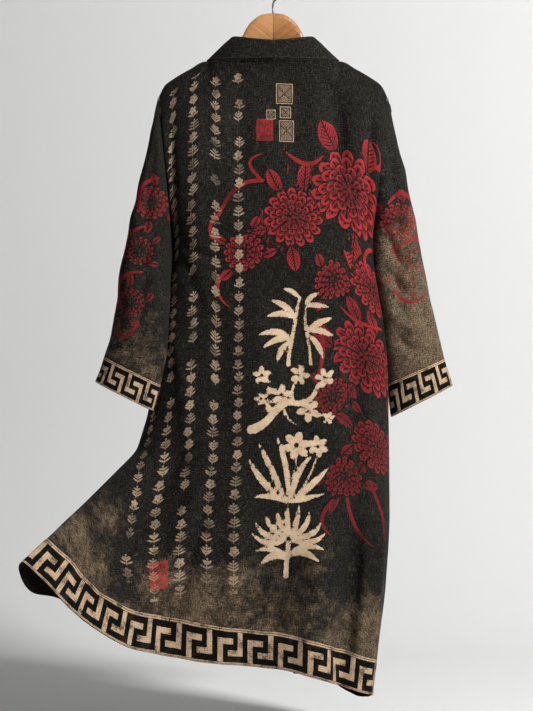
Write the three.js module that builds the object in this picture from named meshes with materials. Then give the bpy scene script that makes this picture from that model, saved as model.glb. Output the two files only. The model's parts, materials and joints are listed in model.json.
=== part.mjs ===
// A long robe of kimono cut on a wooden hanger, its hem blown out to one side.
// Millimetres, +Z up. The origin is the top of the inside of the hook, where a rail would hold it.
// +X is the right of the view from behind. The back panel faces -Y and the open front faces +Y.
import * as THREE from "three";

const size = {
  wall: 1.8, // body and sleeve cloth
  bandWall: 2.6, // doubled cloth of the hem, cuff and neck bands
  proud: 0.5, // how far a band's face stands out from the panel's
  seam: 0.3, // gap between two pieces at a seam
  hemBand: 70, // height of the hem band
  hemBandBlown: 20, // what the wind's slant adds to that height on the left
  neckBand: 50, // width of the neck band
  collarStand: 47, // how far the neck band stands up at the side of the neck
  collarDrop: 140, // height below the neck at which it lies flat on the front
  bandGap: 0.45, // gap between a panel and its hem band, wide enough for the thicker wall
  neckGap: 1.4, // extra gap at the side of the neck, where three walls turn
  capGap: 1.2, // extra gap at the top of the armhole, where the shoulder turns down
  roundness: 0.8, // below 1 squares the body's oval section
  shoulderDrop: 90, // height over which the shoulder fold opens to the full section
  armholeTop: -235,
  armholeLow: -520,
  armholeHalf: 26, // half the armhole's opening, front to back
  armholePoint: 2, // above 1 draws the armhole's ends out to points
  edgePower: 1.3, // how fast the armhole's depth dies away from the side seam
  foldTurn: 0.6, // how far a fold moves its cloth sideways, as a share of its depth
  bandGrowth: 0.35, // below 1 spreads the blown height of the hem band further round
};

// The wind's push on the left side: the way the hem's tip goes from where it would hang.
// It starts at the bend, and is largest near the left side seam.
const blown = {
  side: -203, back: -285, lift: 229, bend: -940, focus: 5, corner: 0.04, swing: 0.1, slowLift: 0.15,
};

const table = (names, rows) =>
  rows.map((row) => Object.fromEntries(names.map((name, i) => [name, row[i]])));

// Half widths and depths of the body, a row for each height.
const sections = table(["height", "right", "left", "back", "front", "opening"], [
  [-1460, 196, 270, 106, 100, 92],
  [-1320, 212, 270, 104, 98, 92],
  [-1200, 226, 270, 100, 96, 92],
  [-1070, 233, 270, 94, 92, 92],
  [-940, 232, 266, 88, 85, 92],
  [-870, 231, 250, 84, 80, 92],
  [-800, 230, 236, 80, 75, 92],
  [-740, 227, 227, 78, 72, 92],
  [-665, 217, 215, 75, 69, 92],
  [-600, 206, 208, 72, 66, 92],
  [-560, 201, 201, 70, 64, 92],
  [-520, 200, 200, 68, 62, 93],
  [-430, 208.8, 208.8, 62, 55, 97],
  [-300, 221.6, 221.6, 48, 42, 108],
  [-235, 228, 228, 36, 34, 121],
  [-165, 228, 228, 30, 30, 134],
]);

// The shoulder line and the back of the neck seam, from the armhole (0) to the centre back (90).
const topLine = table(["around", "x", "y", "z"], [
  [0, 228, 0, -235],
  [15, 216, 0, -213],
  [30, 196, 0, -198],
  [45, 167, 0, -181],
  [60, 134, 0, -165],
  [66, 118, -22, -166],
  [78, 58, -47, -166],
  [90, 0, -54, -166],
]);
const neckPoint = 60;
const frontCentre = 270;

// The free edge of the neck band across the back of the neck.
const collarEdge = table(["around", "x", "y", "z"], [
  [60, 84, 0, -118],
  [66, 78, -17, -118],
  [78, 40, -36, -124],
  [90, 0, -40, -128],
]);

// The hem's height before the wind lifts it, by degrees round the body.
// 0 is the right side seam, 90 the centre back, 180 the left side seam, 270 the front.
const hemLine = table(["around", "height"], [
  [0, -1432], [30, -1419], [60, -1394], [90, -1364], [120, -1352], [132, -1364], [144, -1385],
  [155, -1378], [165, -1360], [172, -1356], [180, -1380], [190, -1410], [200, -1388],
  [216, -1372], [240, -1368], [270, -1380], [300, -1415], [330, -1445], [360, -1432],
]);

// Largest folds: place and half width in degrees round the body, depth (ridges out, troughs
// in), and how far down the piece they start and reach their full depth.
const folds = table(["around", "half", "depth", "start", "full"], [
  [24, 13, 9, 0.5, 0.95],
  [52, 12, -17, 0.55, 0.95],
  [73, 14, 12, 0.6, 1],
  [96, 13, -14, 0.62, 1],
  [118, 13, 12, 0.6, 1],
  [139, 12, -10, 0.68, 1],
  [205, 13, 8, 0.6, 1],
  [228, 13, -9, 0.5, 0.95],
  [312, 12, -9, 0.5, 0.95],
  [336, 12, 8, 0.45, 0.9],
]);
const shoulderFolds = table(["around", "half", "depth", "start", "deepest", "end"], [
  [57, 10, -8, 0.02, 0.1, 0.34],
  [40, 9, 5, 0.05, 0.14, 0.36],
  [122, 10, -5, 0.02, 0.1, 0.3],
  [322, 10, -5, 0.04, 0.12, 0.32],
  [222, 10, -5, 0.04, 0.12, 0.32],
]);

// Sleeves: the outer and the under line in the view from behind, the shift towards +Y, and
// half the depth. The first row is the armhole, the last but one the top of the cuff.
const sleeveNames = ["along", "outerX", "outerZ", "underX", "underZ", "shift", "half"];
const sleeveLeft = table(sleeveNames, [
  [0, 228, -235, 200, -520, 0, 26],
  [0.12, 240, -286, 205, -556, -8, 37],
  [0.25, 255, -362, 208, -592, -18, 44],
  [0.5, 281, -505, 211, -665, -40, 49],
  [0.75, 308, -640, 220, -742, -60, 46],
  [1, 331, -756, 238, -811, -72, 38],
  [1.16, 349, -804, 246, -862, -78, 36],
]);
const sleeveRight = table(sleeveNames, [
  [0, 228, -235, 200, -520, 0, 26],
  [0.12, 241, -286, 205.5, -556, 4, 37],
  [0.25, 258, -362, 210, -592, 11, 44],
  [0.5, 288, -505, 220, -665, 27, 49],
  [0.75, 319, -643, 231, -742, 38, 46],
  [1, 346, -760, 243, -811, 42, 38],
  [1.16, 363, -813, 247, -877, 44, 36],
]);

// Along the sleeve: where its rings have lost the armhole's points and its extra gap, and where
// the cuff ends. cuffLength is the cuff's own length.
const sleeveParts = { pointUntil: 0.25, capUntil: 0.12, cuffEnd: 1.16, cuffLength: 54 };

// The hanger's wooden arms: top and underside, and half the thickness, by distance from its middle.
const hangerLine = table(["x", "top", "under", "half"], [
  [0, -68, -128, 8],
  [22, -71, -130, 8],
  [42, -84, -136, 8],
  [54, -100, -142, 8],
  [63, -118, -148, 8],
  [80, -137, -160, 8],
  [134, -168.5, -194, 8],
  [167, -185, -209, 7.5],
  [190, -199.5, -219, 6.5],
  [204, -210, -224, 4],
]);
// The wood's section has more squared corners than an oval, and its tips are domed.
const wood = { roundness: 0.8, sides: 14, tipDome: 3 };
// The wire hook: radii of the wire and of its ring, the stem, and the turns in degrees at which
// the ring starts and ends. The stem leaves for the ring through the point lean.
const hook = {
  wire: 2, ring: 22, stemTop: -50, stemFoot: -67.6, ringFrom: -45, ringStep: 35, ringTo: 200,
  leanX: 3, leanZ: -43, steps: 28, sides: 4,
};

const segments = { back: 30, front: 14, sleeve: 20, sleeveRows: 15, bandRows: 2, neck: 4, skirt: 23 };

const steps = (count) => Array.from({ length: count + 1 }, (_, i) => i / count);
const clamp = (value, low, high) => Math.min(high, Math.max(low, value));
const radians = (degrees) => (degrees * Math.PI) / 180;
const smooth = (t) => t * t * (3 - 2 * t);
const signedPower = (value, power) => Math.sign(value) * Math.abs(value) ** power;

// A smooth curve through one column of a table, with no overshoot between its rows.
function curve(rows, key, column, at) {
  const last = rows.length - 1;
  const place = clamp(at, rows[0][key], rows[last][key]);
  const slope = (i) => (rows[i + 1][column] - rows[i][column]) / (rows[i + 1][key] - rows[i][key]);
  const tangent = (i) => {
    if (i === 0) return slope(0);
    if (i === last) return slope(last - 1);
    const before = slope(i - 1);
    const after = slope(i);
    return before * after <= 0 ? 0 : (2 * before * after) / (before + after);
  };
  let i = 0;
  while (i < last - 1 && place > rows[i + 1][key]) i += 1;
  const step = rows[i + 1][key] - rows[i][key];
  const t = (place - rows[i][key]) / step;
  return (
    rows[i][column] * (1 + 2 * t) * (1 - t) ** 2 +
    rows[i + 1][column] * t * t * (3 - 2 * t) +
    step * (tangent(i) * t * (1 - t) ** 2 - tangent(i + 1) * t * t * (1 - t))
  );
}

function armholeDepth(z) {
  const middle = (size.armholeTop + size.armholeLow) / 2;
  const reach = (size.armholeTop - size.armholeLow) / 2;
  return size.armholeHalf * Math.max(0, 1 - ((z - middle) / reach) ** 2) ** (size.armholePoint / 2);
}

// The body's section at one height: face is 1 on the back and -1 on the front.
function sectionPoint(around, z, face) {
  const turn = radians(around);
  const halfWidth = curve(sections, "height", Math.cos(turn) > 0 ? "right" : "left", z);
  const depth = curve(sections, "height", face > 0 ? "back" : "front", z);
  const x = halfWidth * signedPower(Math.cos(turn), size.roundness);
  const y = -depth * signedPower(Math.sin(turn), size.roundness);
  return [x, y];
}

// How far the wind moves the cloth at a place and height.
function windShift(around, z, hem) {
  const share = windShare(around);
  const t = (blown.bend - z) / (blown.bend - hem);
  const bent = (t + Math.hypot(t, blown.corner)) / (1 + Math.hypot(1, blown.corner));
  return [
    share * blown.side * bent * (1 + blown.swing * (1 - bent)),
    share * blown.back * bent,
    share * blown.lift * bent * (1 - blown.slowLift * (1 - bent)),
  ];
}

function foldDepth(around, down) {
  let depth = 0;
  const across = (fold) => {
    const t = Math.abs(around - fold.around) / fold.half;
    return t < 1 ? Math.cos((t * Math.PI) / 2) ** 2 : 0;
  };
  for (const fold of folds) {
    const grown = smooth(clamp((down - fold.start) / (fold.full - fold.start), 0, 1));
    depth += fold.depth * grown * across(fold);
  }
  for (const fold of shoulderFolds) {
    const rising = smooth(clamp((down - fold.start) / (fold.deepest - fold.start), 0, 1));
    const falling = smooth(clamp((fold.end - down) / (fold.end - fold.deepest), 0, 1));
    depth += fold.depth * rising * falling * across(fold);
  }
  return depth;
}

// A point of the top line at a place round the back, mirrored for the left half and the front.
function topPoint(around) {
  const fromFront = around > 180 ? 360 - around : around;
  const mirrored = fromFront > 90;
  const place = mirrored ? 180 - fromFront : fromFront;
  return new THREE.Vector3(
    (mirrored ? -1 : 1) * curve(topLine, "around", "x", place),
    curve(topLine, "around", "y", place),
    curve(topLine, "around", "z", place),
  );
}

const hemHeight = (around) => curve(hemLine, "around", "height", around);
const windShare = (around) => Math.max(0, -Math.cos(radians(around))) ** blown.focus;
const hemBandHeight = (around) =>
  size.hemBand + size.hemBandBlown * windShare(around) ** size.bandGrowth;

// The outside of the body at a place round it and a height, before the wind, under the
// point of the top line where its column starts and over the column's hem.
function bodyPoint(around, z, face, top, hem) {
  const opened = clamp((top.z - z) / size.shoulderDrop, 0, 1);
  const depthShare = Math.sqrt(opened * (2 - opened));
  const [sectionX, sectionY] = sectionPoint(around, z, face);
  const startX = sectionPoint(around, top.z, face)[0];
  const [windX, windY, windZ] = windShift(around, z, hem);
  const fromEdge = Math.abs(Math.sin(radians(around))) ** size.roundness;
  const edgeY = -face * armholeDepth(z) * (1 - fromEdge) ** size.edgePower;
  const fold = foldDepth(around, (top.z - z) / (top.z - hem));
  const turn = radians(around);
  return new THREE.Vector3(
    sectionX + (top.x - startX) * (1 - smooth(opened)) + windX
      + size.foldTurn * fold * Math.cos(turn),
    edgeY + top.y + (sectionY - top.y) * depthShare + windY - fold * Math.sin(turn),
    z + windZ,
  ).add(new THREE.Vector3(0, (-face * size.seam) / 2, 0));
}

// Rows of a column, as heights: level with the sleeve's points down the armhole, then even
// down to the hem band, then down the band. Two more lie where the shoulder turns down.
const armholeShares = [0.006, 0.055];
for (let k = 0; k <= segments.sleeve / 2; k += 1) {
  armholeShares.push((1 - Math.cos((2 * Math.PI * k) / segments.sleeve)) / 2);
}
armholeShares.sort((a, b) => a - b);
const between = (from, to, share) => from + (to - from) * share;
const panelHeights = [
  ...armholeShares.map((t) => (topZ) => between(topZ, size.armholeLow, t)),
  ...steps(segments.skirt).slice(1)
    .map((t) => (topZ, hemZ, bandZ) => between(size.armholeLow, bandZ, t)),
];
const bandHeights = steps(segments.bandRows)
  .map((t) => (topZ, hemZ, bandZ) => between(bandZ - size.bandGap, hemZ, t));

function backPoint(around, height) {
  const top = topPoint(around);
  const hem = hemHeight(around);
  return bodyPoint(around, height(top.z, hem, hem + hemBandHeight(around)), 1, top, hem);
}

// Degrees round the body at which the front meets the neck band, on the side of sign.
function frontEdge(sign, z, inset = 0) {
  const halfWidth = curve(sections, "height", sign > 0 ? "right" : "left", z);
  const x = curve(sections, "height", "opening", z) - inset;
  const angle = (Math.acos((x / halfWidth) ** (1 / size.roundness)) * 180) / Math.PI;
  return sign > 0 ? 360 - angle : 180 + angle;
}

const sideSeam = (sign) => (sign > 0 ? 360 : 180);

// The outside of a front: across is 0 at the side seam and 1 at the neck band's seam.
function frontPoint(sign, across, height) {
  const side = sideSeam(sign);
  const top = topPoint(side - sign * neckPoint * across);
  const foot = between(side, frontEdge(sign, hemHeight(frontCentre)), across);
  const hem = hemHeight(foot);
  const z = height(top.z, hem, hem + hemBandHeight(foot));
  return bodyPoint(between(side, frontEdge(sign, z), across), z, -1, top, hem);
}

// The front part of the neck band: across is 0 at its seam and 1 at its free edge.
function frontBandPoint(sign, across, height) {
  const top = topPoint(sideSeam(sign) - sign * neckPoint);
  const foot = frontEdge(sign, hemHeight(frontCentre));
  const hem = hemHeight(foot);
  const z = height(top.z, hem, hem + hemBandHeight(foot));
  const seam = bodyPoint(frontEdge(sign, z), z, -1, top, hem);
  const lying = bodyPoint(frontEdge(sign, z, size.neckBand * across), z, -1, top, hem);
  const standing = seam.clone().add(
    new THREE.Vector3(-sign * size.neckBand * across, 0, size.collarStand * across),
  );
  return standing.lerp(lying, smooth(clamp((top.z - z) / size.collarDrop, 0, 1)));
}

function backBandPoint(around, across) {
  const seam = topPoint(around);
  const mirrored = around > 90;
  const place = mirrored ? 180 - around : around;
  const free = new THREE.Vector3(
    (mirrored ? -1 : 1) * curve(collarEdge, "around", "x", place),
    curve(collarEdge, "around", "y", place),
    curve(collarEdge, "around", "z", place),
  );
  return seam.lerp(free, across);
}

// A closed wall from the rows of points of its outside: each point moves in by the wall.
// Options: ring closes the rows on themselves, proud moves the outside out,
// turn(row, column, normal, point) turns the normal where two pieces meet, and
// keep(row, point) keeps a point of the inside on its own side of that fold.
function wallGeometry(rows, wall, options = {}) {
  const { ring = false, proud = 0, turn = () => {}, keep = () => {} } = options;
  const rowCount = rows.length;
  const columnCount = rows[0].length;
  const difference = (list, i, wraps) => {
    const last = list.length - 1;
    const out = new THREE.Vector3();
    if (wraps) return out.subVectors(list[(i + 1) % (last + 1)], list[(i + last) % (last + 1)]);
    if (i > 0 && i < last) return out.subVectors(list[i + 1], list[i - 1]);
    if (last < 2) return out.subVectors(list[last], list[0]);
    const sign = i === 0 ? 1 : -1;
    out.addScaledVector(list[i], -3).addScaledVector(list[i + sign], 4);
    return out.addScaledVector(list[i + 2 * sign], -1).multiplyScalar(sign);
  };
  const outside = [];
  const inside = [];
  rows.forEach((row, i) => {
    row.forEach((point, j) => {
      const column = rows.map((line) => line[j]);
      const along = difference(column, i, false);
      const across = difference(row, j, ring);
      const normal = new THREE.Vector3().crossVectors(across, along);
      turn(i, j, normal, point);
      normal.normalize();
      outside.push(point.clone().addScaledVector(normal, proud));
      const inner = point.clone().addScaledVector(normal, proud - wall);
      keep(i, inner);
      inside.push(inner);
    });
  });
  const points = [...outside, ...inside];
  const offset = outside.length;
  const faces = [];
  const quad = (a, b, c, d) => faces.push(a, b, c, a, c, d);
  const at = (i, j) => i * columnCount + (j % columnCount);
  const lastColumn = ring ? columnCount : columnCount - 1;
  for (let i = 0; i < rowCount - 1; i += 1) {
    for (let j = 0; j < lastColumn; j += 1) {
      quad(at(i, j), at(i + 1, j), at(i + 1, j + 1), at(i, j + 1));
      quad(offset + at(i, j), offset + at(i, j + 1), offset + at(i + 1, j + 1), offset + at(i + 1, j));
    }
    if (!ring) {
      quad(at(i, 0), offset + at(i, 0), offset + at(i + 1, 0), at(i + 1, 0));
      const end = columnCount - 1;
      quad(at(i, end), at(i + 1, end), offset + at(i + 1, end), offset + at(i, end));
    }
  }
  for (let j = 0; j < lastColumn; j += 1) {
    const end = rowCount - 1;
    quad(at(0, j), at(0, j + 1), offset + at(0, j + 1), offset + at(0, j));
    quad(at(end, j), offset + at(end, j), offset + at(end, j + 1), at(end, j + 1));
  }
  return solidGeometry(points, faces);
}

// A closed solid from points and triangles that all wind the same way, turned outwards.
function solidGeometry(points, faces) {
  let volume = 0;
  for (let i = 0; i < faces.length; i += 3) {
    const [a, b, c] = [points[faces[i]], points[faces[i + 1]], points[faces[i + 2]]];
    volume += a.dot(new THREE.Vector3().crossVectors(b, c));
  }
  const turned = [];
  for (let i = 0; i < faces.length; i += 3) {
    const [a, b, c] = faces.slice(i, i + 3);
    turned.push(...(volume < 0 ? [a, c, b] : [a, b, c]));
  }
  const geometry = new THREE.BufferGeometry();
  geometry.setAttribute(
    "position",
    new THREE.Float32BufferAttribute(points.flatMap((point) => point.toArray()), 3),
  );
  geometry.setIndex(turned);
  geometry.computeVertexNormals();
  return geometry;
}

// Rows of the outside of the back, from the top line down, and from right to left.
function backRows(heights) {
  return heights.map((height) => steps(segments.back).map((u) => backPoint(180 * u, height)));
}

function frontRows(sign, heights) {
  const columns = steps(segments.front);
  if (sign > 0) columns.reverse();
  return heights.map((height) => columns.map((u) => frontPoint(sign, u, height)));
}

// Rows from the top line down in which a panel's inside stays on its own side of the shoulder fold.
const shoulderRows = 6;
const keepSide = (face) => (row, point) => {
  if (row < shoulderRows) point.y = -face * Math.max(-face * point.y, size.seam / 2);
};

// At the armhole a panel's wall doesn't lean out over the sleeve.
function turnArmhole(row, normal, point) {
  if (row < armholeShares.length && normal.x * point.x < 0) normal.x = 0;
}

// Along the shoulders the two panels' edges face each other, and round the neck they face up.
function backPanel() {
  const turn = (row, column, normal, point) => {
    const around = (180 * column) / segments.back;
    if (column === 0 || column === segments.back) turnArmhole(row, normal, point);
    if (row > 0) return;
    if (around < neckPoint || around > 180 - neckPoint) normal.y = 0;
    if (around > neckPoint && around < 180 - neckPoint) normal.z = 0;
  };
  return wallGeometry(backRows(panelHeights), size.wall, { turn, keep: keepSide(1) });
}

function frontPanel(sign) {
  const turn = (row, column, normal, point) => {
    const fromSide = sign > 0 ? segments.front - column : column;
    if (fromSide === 0) turnArmhole(row, normal, point);
    if (row === 0) normal.y = 0;
  };
  return wallGeometry(frontRows(sign, panelHeights), size.wall, { turn, keep: keepSide(-1) });
}

const band = { proud: size.proud };
const backHem = () => wallGeometry(backRows(bandHeights), size.bandWall, band);
const frontHem = (sign) => wallGeometry(frontRows(sign, bandHeights), size.bandWall, band);

// The neck band: up one front, round the back of the neck and down the other front.
function neckband() {
  const corner = topPoint(neckPoint);
  const rowFrom = (point) => {
    const seam = point(0);
    const apart = Math.hypot(Math.abs(seam.x) - corner.x, seam.y, seam.z - corner.z);
    const gap = size.seam + size.neckGap * clamp(1 - apart / size.neckBand, 0, 1);
    return steps(segments.neck).map((w) => point(between(gap / size.neckBand, 1, w)));
  };
  const heights = [...panelHeights.slice(1), bandHeights[0], bandHeights[bandHeights.length - 1]];
  const front = (sign) =>
    heights.map((height) => rowFrom((across) => frontBandPoint(sign, across, height)));
  const neck = [];
  for (let around = neckPoint; around <= 180 - neckPoint; around += 180 / segments.back) {
    neck.push(rowFrom((across) => backBandPoint(around, across)));
  }
  const turn = (row, column, normal) => {
    const fromNeck = row - heights.length;
    if (column === 0 && fromNeck > 0 && fromNeck < neck.length - 1) normal.z = 0;
  };
  const rows = [...front(1).reverse(), ...neck, ...front(-1)];
  return wallGeometry(rows, size.bandWall, { proud: size.proud, turn });
}

// One ring of a sleeve: 0 degrees is its outer line, 90 its back and 180 its under line.
function sleeveRing(rows, sign, along) {
  const value = (column) => curve(rows, "along", column, along);
  const middle = new THREE.Vector3(
    (value("outerX") + value("underX")) / 2, value("shift"), (value("outerZ") + value("underZ")) / 2,
  );
  const half = new THREE.Vector3(
    (value("outerX") - value("underX")) / 2, 0, (value("outerZ") - value("underZ")) / 2,
  );
  const depth = value("half");
  const point = between(size.armholePoint, 1, clamp(along / sleeveParts.pointUntil, 0, 1));
  const capLeft = 1 - clamp(along / sleeveParts.capUntil, 0, 1);
  return steps(segments.sleeve).slice(0, -1).map((t) => {
    const turn = 2 * Math.PI * t;
    const place = middle.clone().addScaledVector(half, Math.cos(turn));
    const cap = size.capGap * Math.max(0, Math.cos(turn)) ** 2 * capLeft;
    place.y -= depth * signedPower(Math.sin(turn), point);
    place.x = sign * (place.x + size.seam + cap);
    return place;
  });
}

function sleevePiece(rows, sign, from, to, count, wall, proud) {
  const rings = steps(count).map((t) => sleeveRing(rows, sign, from + (to - from) * t));
  if (sign < 0) rings.forEach((ring) => ring.reverse());
  const turn = (row, column, normal) => {
    if (row === 0 && from === 0) normal.x = 0;
  };
  return wallGeometry(rings, wall, { ring: true, proud, turn });
}

const sleeve = (rows, sign) =>
  sleevePiece(rows, sign, 0, 1, segments.sleeveRows, size.wall, 0);
const cuffStart = 1 + ((sleeveParts.cuffEnd - 1) * size.seam) / sleeveParts.cuffLength;
const cuff = (rows, sign) => sleevePiece(
  rows, sign, cuffStart, sleeveParts.cuffEnd, segments.bandRows, size.bandWall, size.proud,
);

// The hanger's wood: sections along its top line, from tip to tip, with one between each two rows.
function hangerWood() {
  const tip = hangerLine.length - 1;
  const at = (column, x) => curve(hangerLine, "x", column, Math.abs(x));
  const stations = steps(4 * tip).map((t) => {
    const row = Math.abs(4 * tip * t - 2 * tip) / 2;
    const [inner, outer] = [hangerLine[Math.floor(row)].x, hangerLine[Math.ceil(row)].x];
    return (Math.sign(t - 0.5) * (inner + outer)) / 2;
  });
  const points = stations.flatMap((x) => {
    const [top, under, half] = [at("top", x), at("under", x), at("half", x)];
    return steps(wood.sides).slice(1).map((t) => {
      const turn = 2 * Math.PI * t;
      const height = ((top - under) / 2) * signedPower(Math.cos(turn), wood.roundness);
      const depth = half * signedPower(Math.sin(turn), wood.roundness);
      return new THREE.Vector3(x, -depth, (top + under) / 2 + height);
    });
  });
  const faces = [];
  const corner = (station, side) => station * wood.sides + (side % wood.sides);
  for (let k = 0; k < wood.sides; k += 1) {
    for (let i = 0; i < stations.length - 1; i += 1) {
      const [a, b, c, d] = [corner(i, k), corner(i + 1, k), corner(i + 1, k + 1), corner(i, k + 1)];
      faces.push(a, b, c, a, c, d);
    }
    faces.push(points.length, corner(0, k), corner(0, k + 1));
    faces.push(points.length + 1, corner(stations.length - 1, k + 1), corner(stations.length - 1, k));
  }
  const { x, top, under } = hangerLine[tip];
  for (const sign of [-1, 1]) {
    points.push(new THREE.Vector3(sign * (x + wood.tipDome), 0, (top + under) / 2));
  }
  return solidGeometry(points, faces);
}

// The wire hook: a straight stem, then round the right side to a free end on the left.
function hangerHook() {
  const stemTop = new THREE.Vector3(0, 0, hook.stemTop);
  const round = [stemTop, new THREE.Vector3(hook.leanX, 0, hook.leanZ)];
  for (let degrees = hook.ringFrom; degrees <= hook.ringTo; degrees += hook.ringStep) {
    const turn = radians(degrees);
    round.push(new THREE.Vector3(
      hook.ring * Math.cos(turn), 0, hook.ring * Math.sin(turn) - hook.ring + hook.wire,
    ));
  }
  const path = new THREE.CurvePath();
  path.add(new THREE.LineCurve3(new THREE.Vector3(0, 0, hook.stemFoot), stemTop));
  path.add(new THREE.CatmullRomCurve3(round));
  const section = new THREE.Shape().absarc(0, 0, hook.wire, 0, 2 * Math.PI);
  return new THREE.ExtrudeGeometry(
    section, { steps: hook.steps, curveSegments: hook.sides, extrudePath: path },
  );
}

const linen = (color) => new THREE.MeshStandardMaterial({ color, roughness: 0.9, metalness: 0 });
const colors = { cloth: 0x2e2b26, band: 0x6d5b45, wood: 0xb27b4c, wire: 0x9a9890 };

const pieces = [
  ["back", backPanel(), linen(colors.cloth)],
  ["front_left", frontPanel(-1), linen(colors.cloth)],
  ["front_right", frontPanel(1), linen(colors.cloth)],
  ["sleeve_left", sleeve(sleeveLeft, -1), linen(colors.cloth)],
  ["sleeve_right", sleeve(sleeveRight, 1), linen(colors.cloth)],
  ["cuff_left", cuff(sleeveLeft, -1), linen(colors.band)],
  ["cuff_right", cuff(sleeveRight, 1), linen(colors.band)],
  ["hem_back", backHem(), linen(colors.band)],
  ["hem_front_left", frontHem(-1), linen(colors.band)],
  ["hem_front_right", frontHem(1), linen(colors.band)],
  ["neckband", neckband(), linen(colors.cloth)],
  ["hanger_wood", hangerWood(), new THREE.MeshStandardMaterial({ color: colors.wood, roughness: 0.5 })],
  ["hanger_hook", hangerHook(),
    new THREE.MeshStandardMaterial({ color: colors.wire, roughness: 0.3, metalness: 1 })],
];

const robe = new THREE.Group();
for (const [name, geometry, material] of pieces) {
  const mesh = new THREE.Mesh(geometry, material);
  mesh.name = name;
  robe.add(mesh);
}

export default robe;
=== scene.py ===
import functools
import json
import math

import bpy
import numpy as np
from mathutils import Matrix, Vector

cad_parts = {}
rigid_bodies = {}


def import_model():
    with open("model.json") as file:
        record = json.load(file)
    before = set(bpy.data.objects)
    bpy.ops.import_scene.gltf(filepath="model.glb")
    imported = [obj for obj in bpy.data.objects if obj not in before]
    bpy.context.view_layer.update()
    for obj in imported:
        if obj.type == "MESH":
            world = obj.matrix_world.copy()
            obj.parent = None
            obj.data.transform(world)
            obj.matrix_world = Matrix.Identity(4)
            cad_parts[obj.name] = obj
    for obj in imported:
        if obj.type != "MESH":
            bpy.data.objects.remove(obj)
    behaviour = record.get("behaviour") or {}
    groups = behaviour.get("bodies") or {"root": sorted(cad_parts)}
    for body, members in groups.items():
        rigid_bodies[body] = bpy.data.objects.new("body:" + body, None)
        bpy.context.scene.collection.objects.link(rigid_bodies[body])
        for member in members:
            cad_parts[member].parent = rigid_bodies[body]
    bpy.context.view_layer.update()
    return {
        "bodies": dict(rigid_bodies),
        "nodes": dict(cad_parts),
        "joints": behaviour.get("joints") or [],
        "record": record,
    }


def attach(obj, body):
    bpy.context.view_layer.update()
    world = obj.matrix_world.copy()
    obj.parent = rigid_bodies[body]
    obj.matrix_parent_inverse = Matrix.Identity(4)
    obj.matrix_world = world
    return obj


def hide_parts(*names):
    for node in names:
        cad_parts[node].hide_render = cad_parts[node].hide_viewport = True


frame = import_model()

print("tables of the robe's form")

# Millimetres. +X is the right of the view from behind, the back faces -Y.
size = {
    "wall": 1.8, "bandWall": 2.6, "proud": 0.5, "seam": 0.3,
    "hemBand": 70, "hemBandBlown": 20, "neckBand": 50, "collarStand": 47, "collarDrop": 140,
    "bandGap": -2, "neckGap": 1.4, "capGap": 1.2, "roundness": 0.8, "shoulderDrop": 90,
    "armholeTop": -235, "armholeLow": -520, "armholeHalf": 26,
    "edgePower": 1.3, "foldTurn": 0.6, "bandGrowth": 0.35,
}
blown = {
    "side": -203, "back": -285, "lift": 229, "bend": -940, "focus": 5, "corner": 0.04, "swing": 0.1,
    "slowLift": 0.15,
}

# height, right and left half width, back and front depth, half the front opening
sections = [
    (-1460, 196, 270, 106, 100, 92), (-1320, 212, 270, 104, 98, 92),
    (-1200, 226, 270, 100, 96, 92), (-1070, 233, 270, 94, 92, 92),
    (-940, 232, 266, 88, 85, 92), (-870, 231, 250, 84, 80, 92),
    (-800, 230, 236, 80, 75, 92), (-740, 227, 227, 78, 72, 92),
    (-665, 217, 215, 75, 69, 92), (-600, 206, 208, 72, 66, 92),
    (-560, 201, 201, 70, 64, 92), (-520, 200, 200, 68, 62, 93),
    (-430, 208.8, 208.8, 62, 55, 97), (-300, 221.6, 221.6, 48, 42, 108),
    (-235, 228, 228, 36, 34, 121), (-165, 228, 228, 30, 30, 134),
]
# degrees from the armhole to the centre back, x, y, z
topLine = [
    (0, 228, 0, -235), (15, 216, 0, -213), (30, 196, 0, -198), (45, 167, 0, -181),
    (60, 134, 0, -165), (66, 118, -22, -166), (78, 58, -47, -166), (90, 0, -54, -166),
]
neckPoint = 60
collarEdge = [(60, 84, 0, -118), (66, 78, -17, -118), (78, 40, -36, -124), (90, 0, -40, -128)]
# degrees round the body (0 right seam, 90 centre back, 180 left seam, 270 front), hem height
hemLine = [
    (0, -1432), (30, -1419), (60, -1394), (90, -1364), (120, -1352), (132, -1364),
    (144, -1385), (155, -1378), (165, -1360), (172, -1356), (180, -1380), (190, -1410),
    (200, -1388), (216, -1372), (240, -1368), (270, -1380), (300, -1415), (330, -1445),
    (360, -1432),
]
# degrees, half width, depth, where it starts and is full, as shares of the way down
folds = [
    (24, 13, 9, 0.5, 0.95), (52, 12, -17, 0.55, 0.95), (73, 14, 12, 0.6, 1),
    (96, 13, -14, 0.62, 1), (118, 13, 12, 0.6, 1), (139, 12, -10, 0.68, 1),
    (205, 13, 8, 0.6, 1), (228, 13, -9, 0.5, 0.95), (312, 12, -9, 0.5, 0.95),
    (336, 12, 8, 0.45, 0.9),
]
# the same for the shoulders: start, deepest, end
shoulderFolds = [
    (57, 10, -8, 0.02, 0.1, 0.34), (40, 9, 5, 0.05, 0.14, 0.36),
    (122, 10, -5, 0.02, 0.1, 0.3), (322, 10, -5, 0.04, 0.12, 0.32),
    (222, 10, -5, 0.04, 0.12, 0.32),
]
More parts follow.
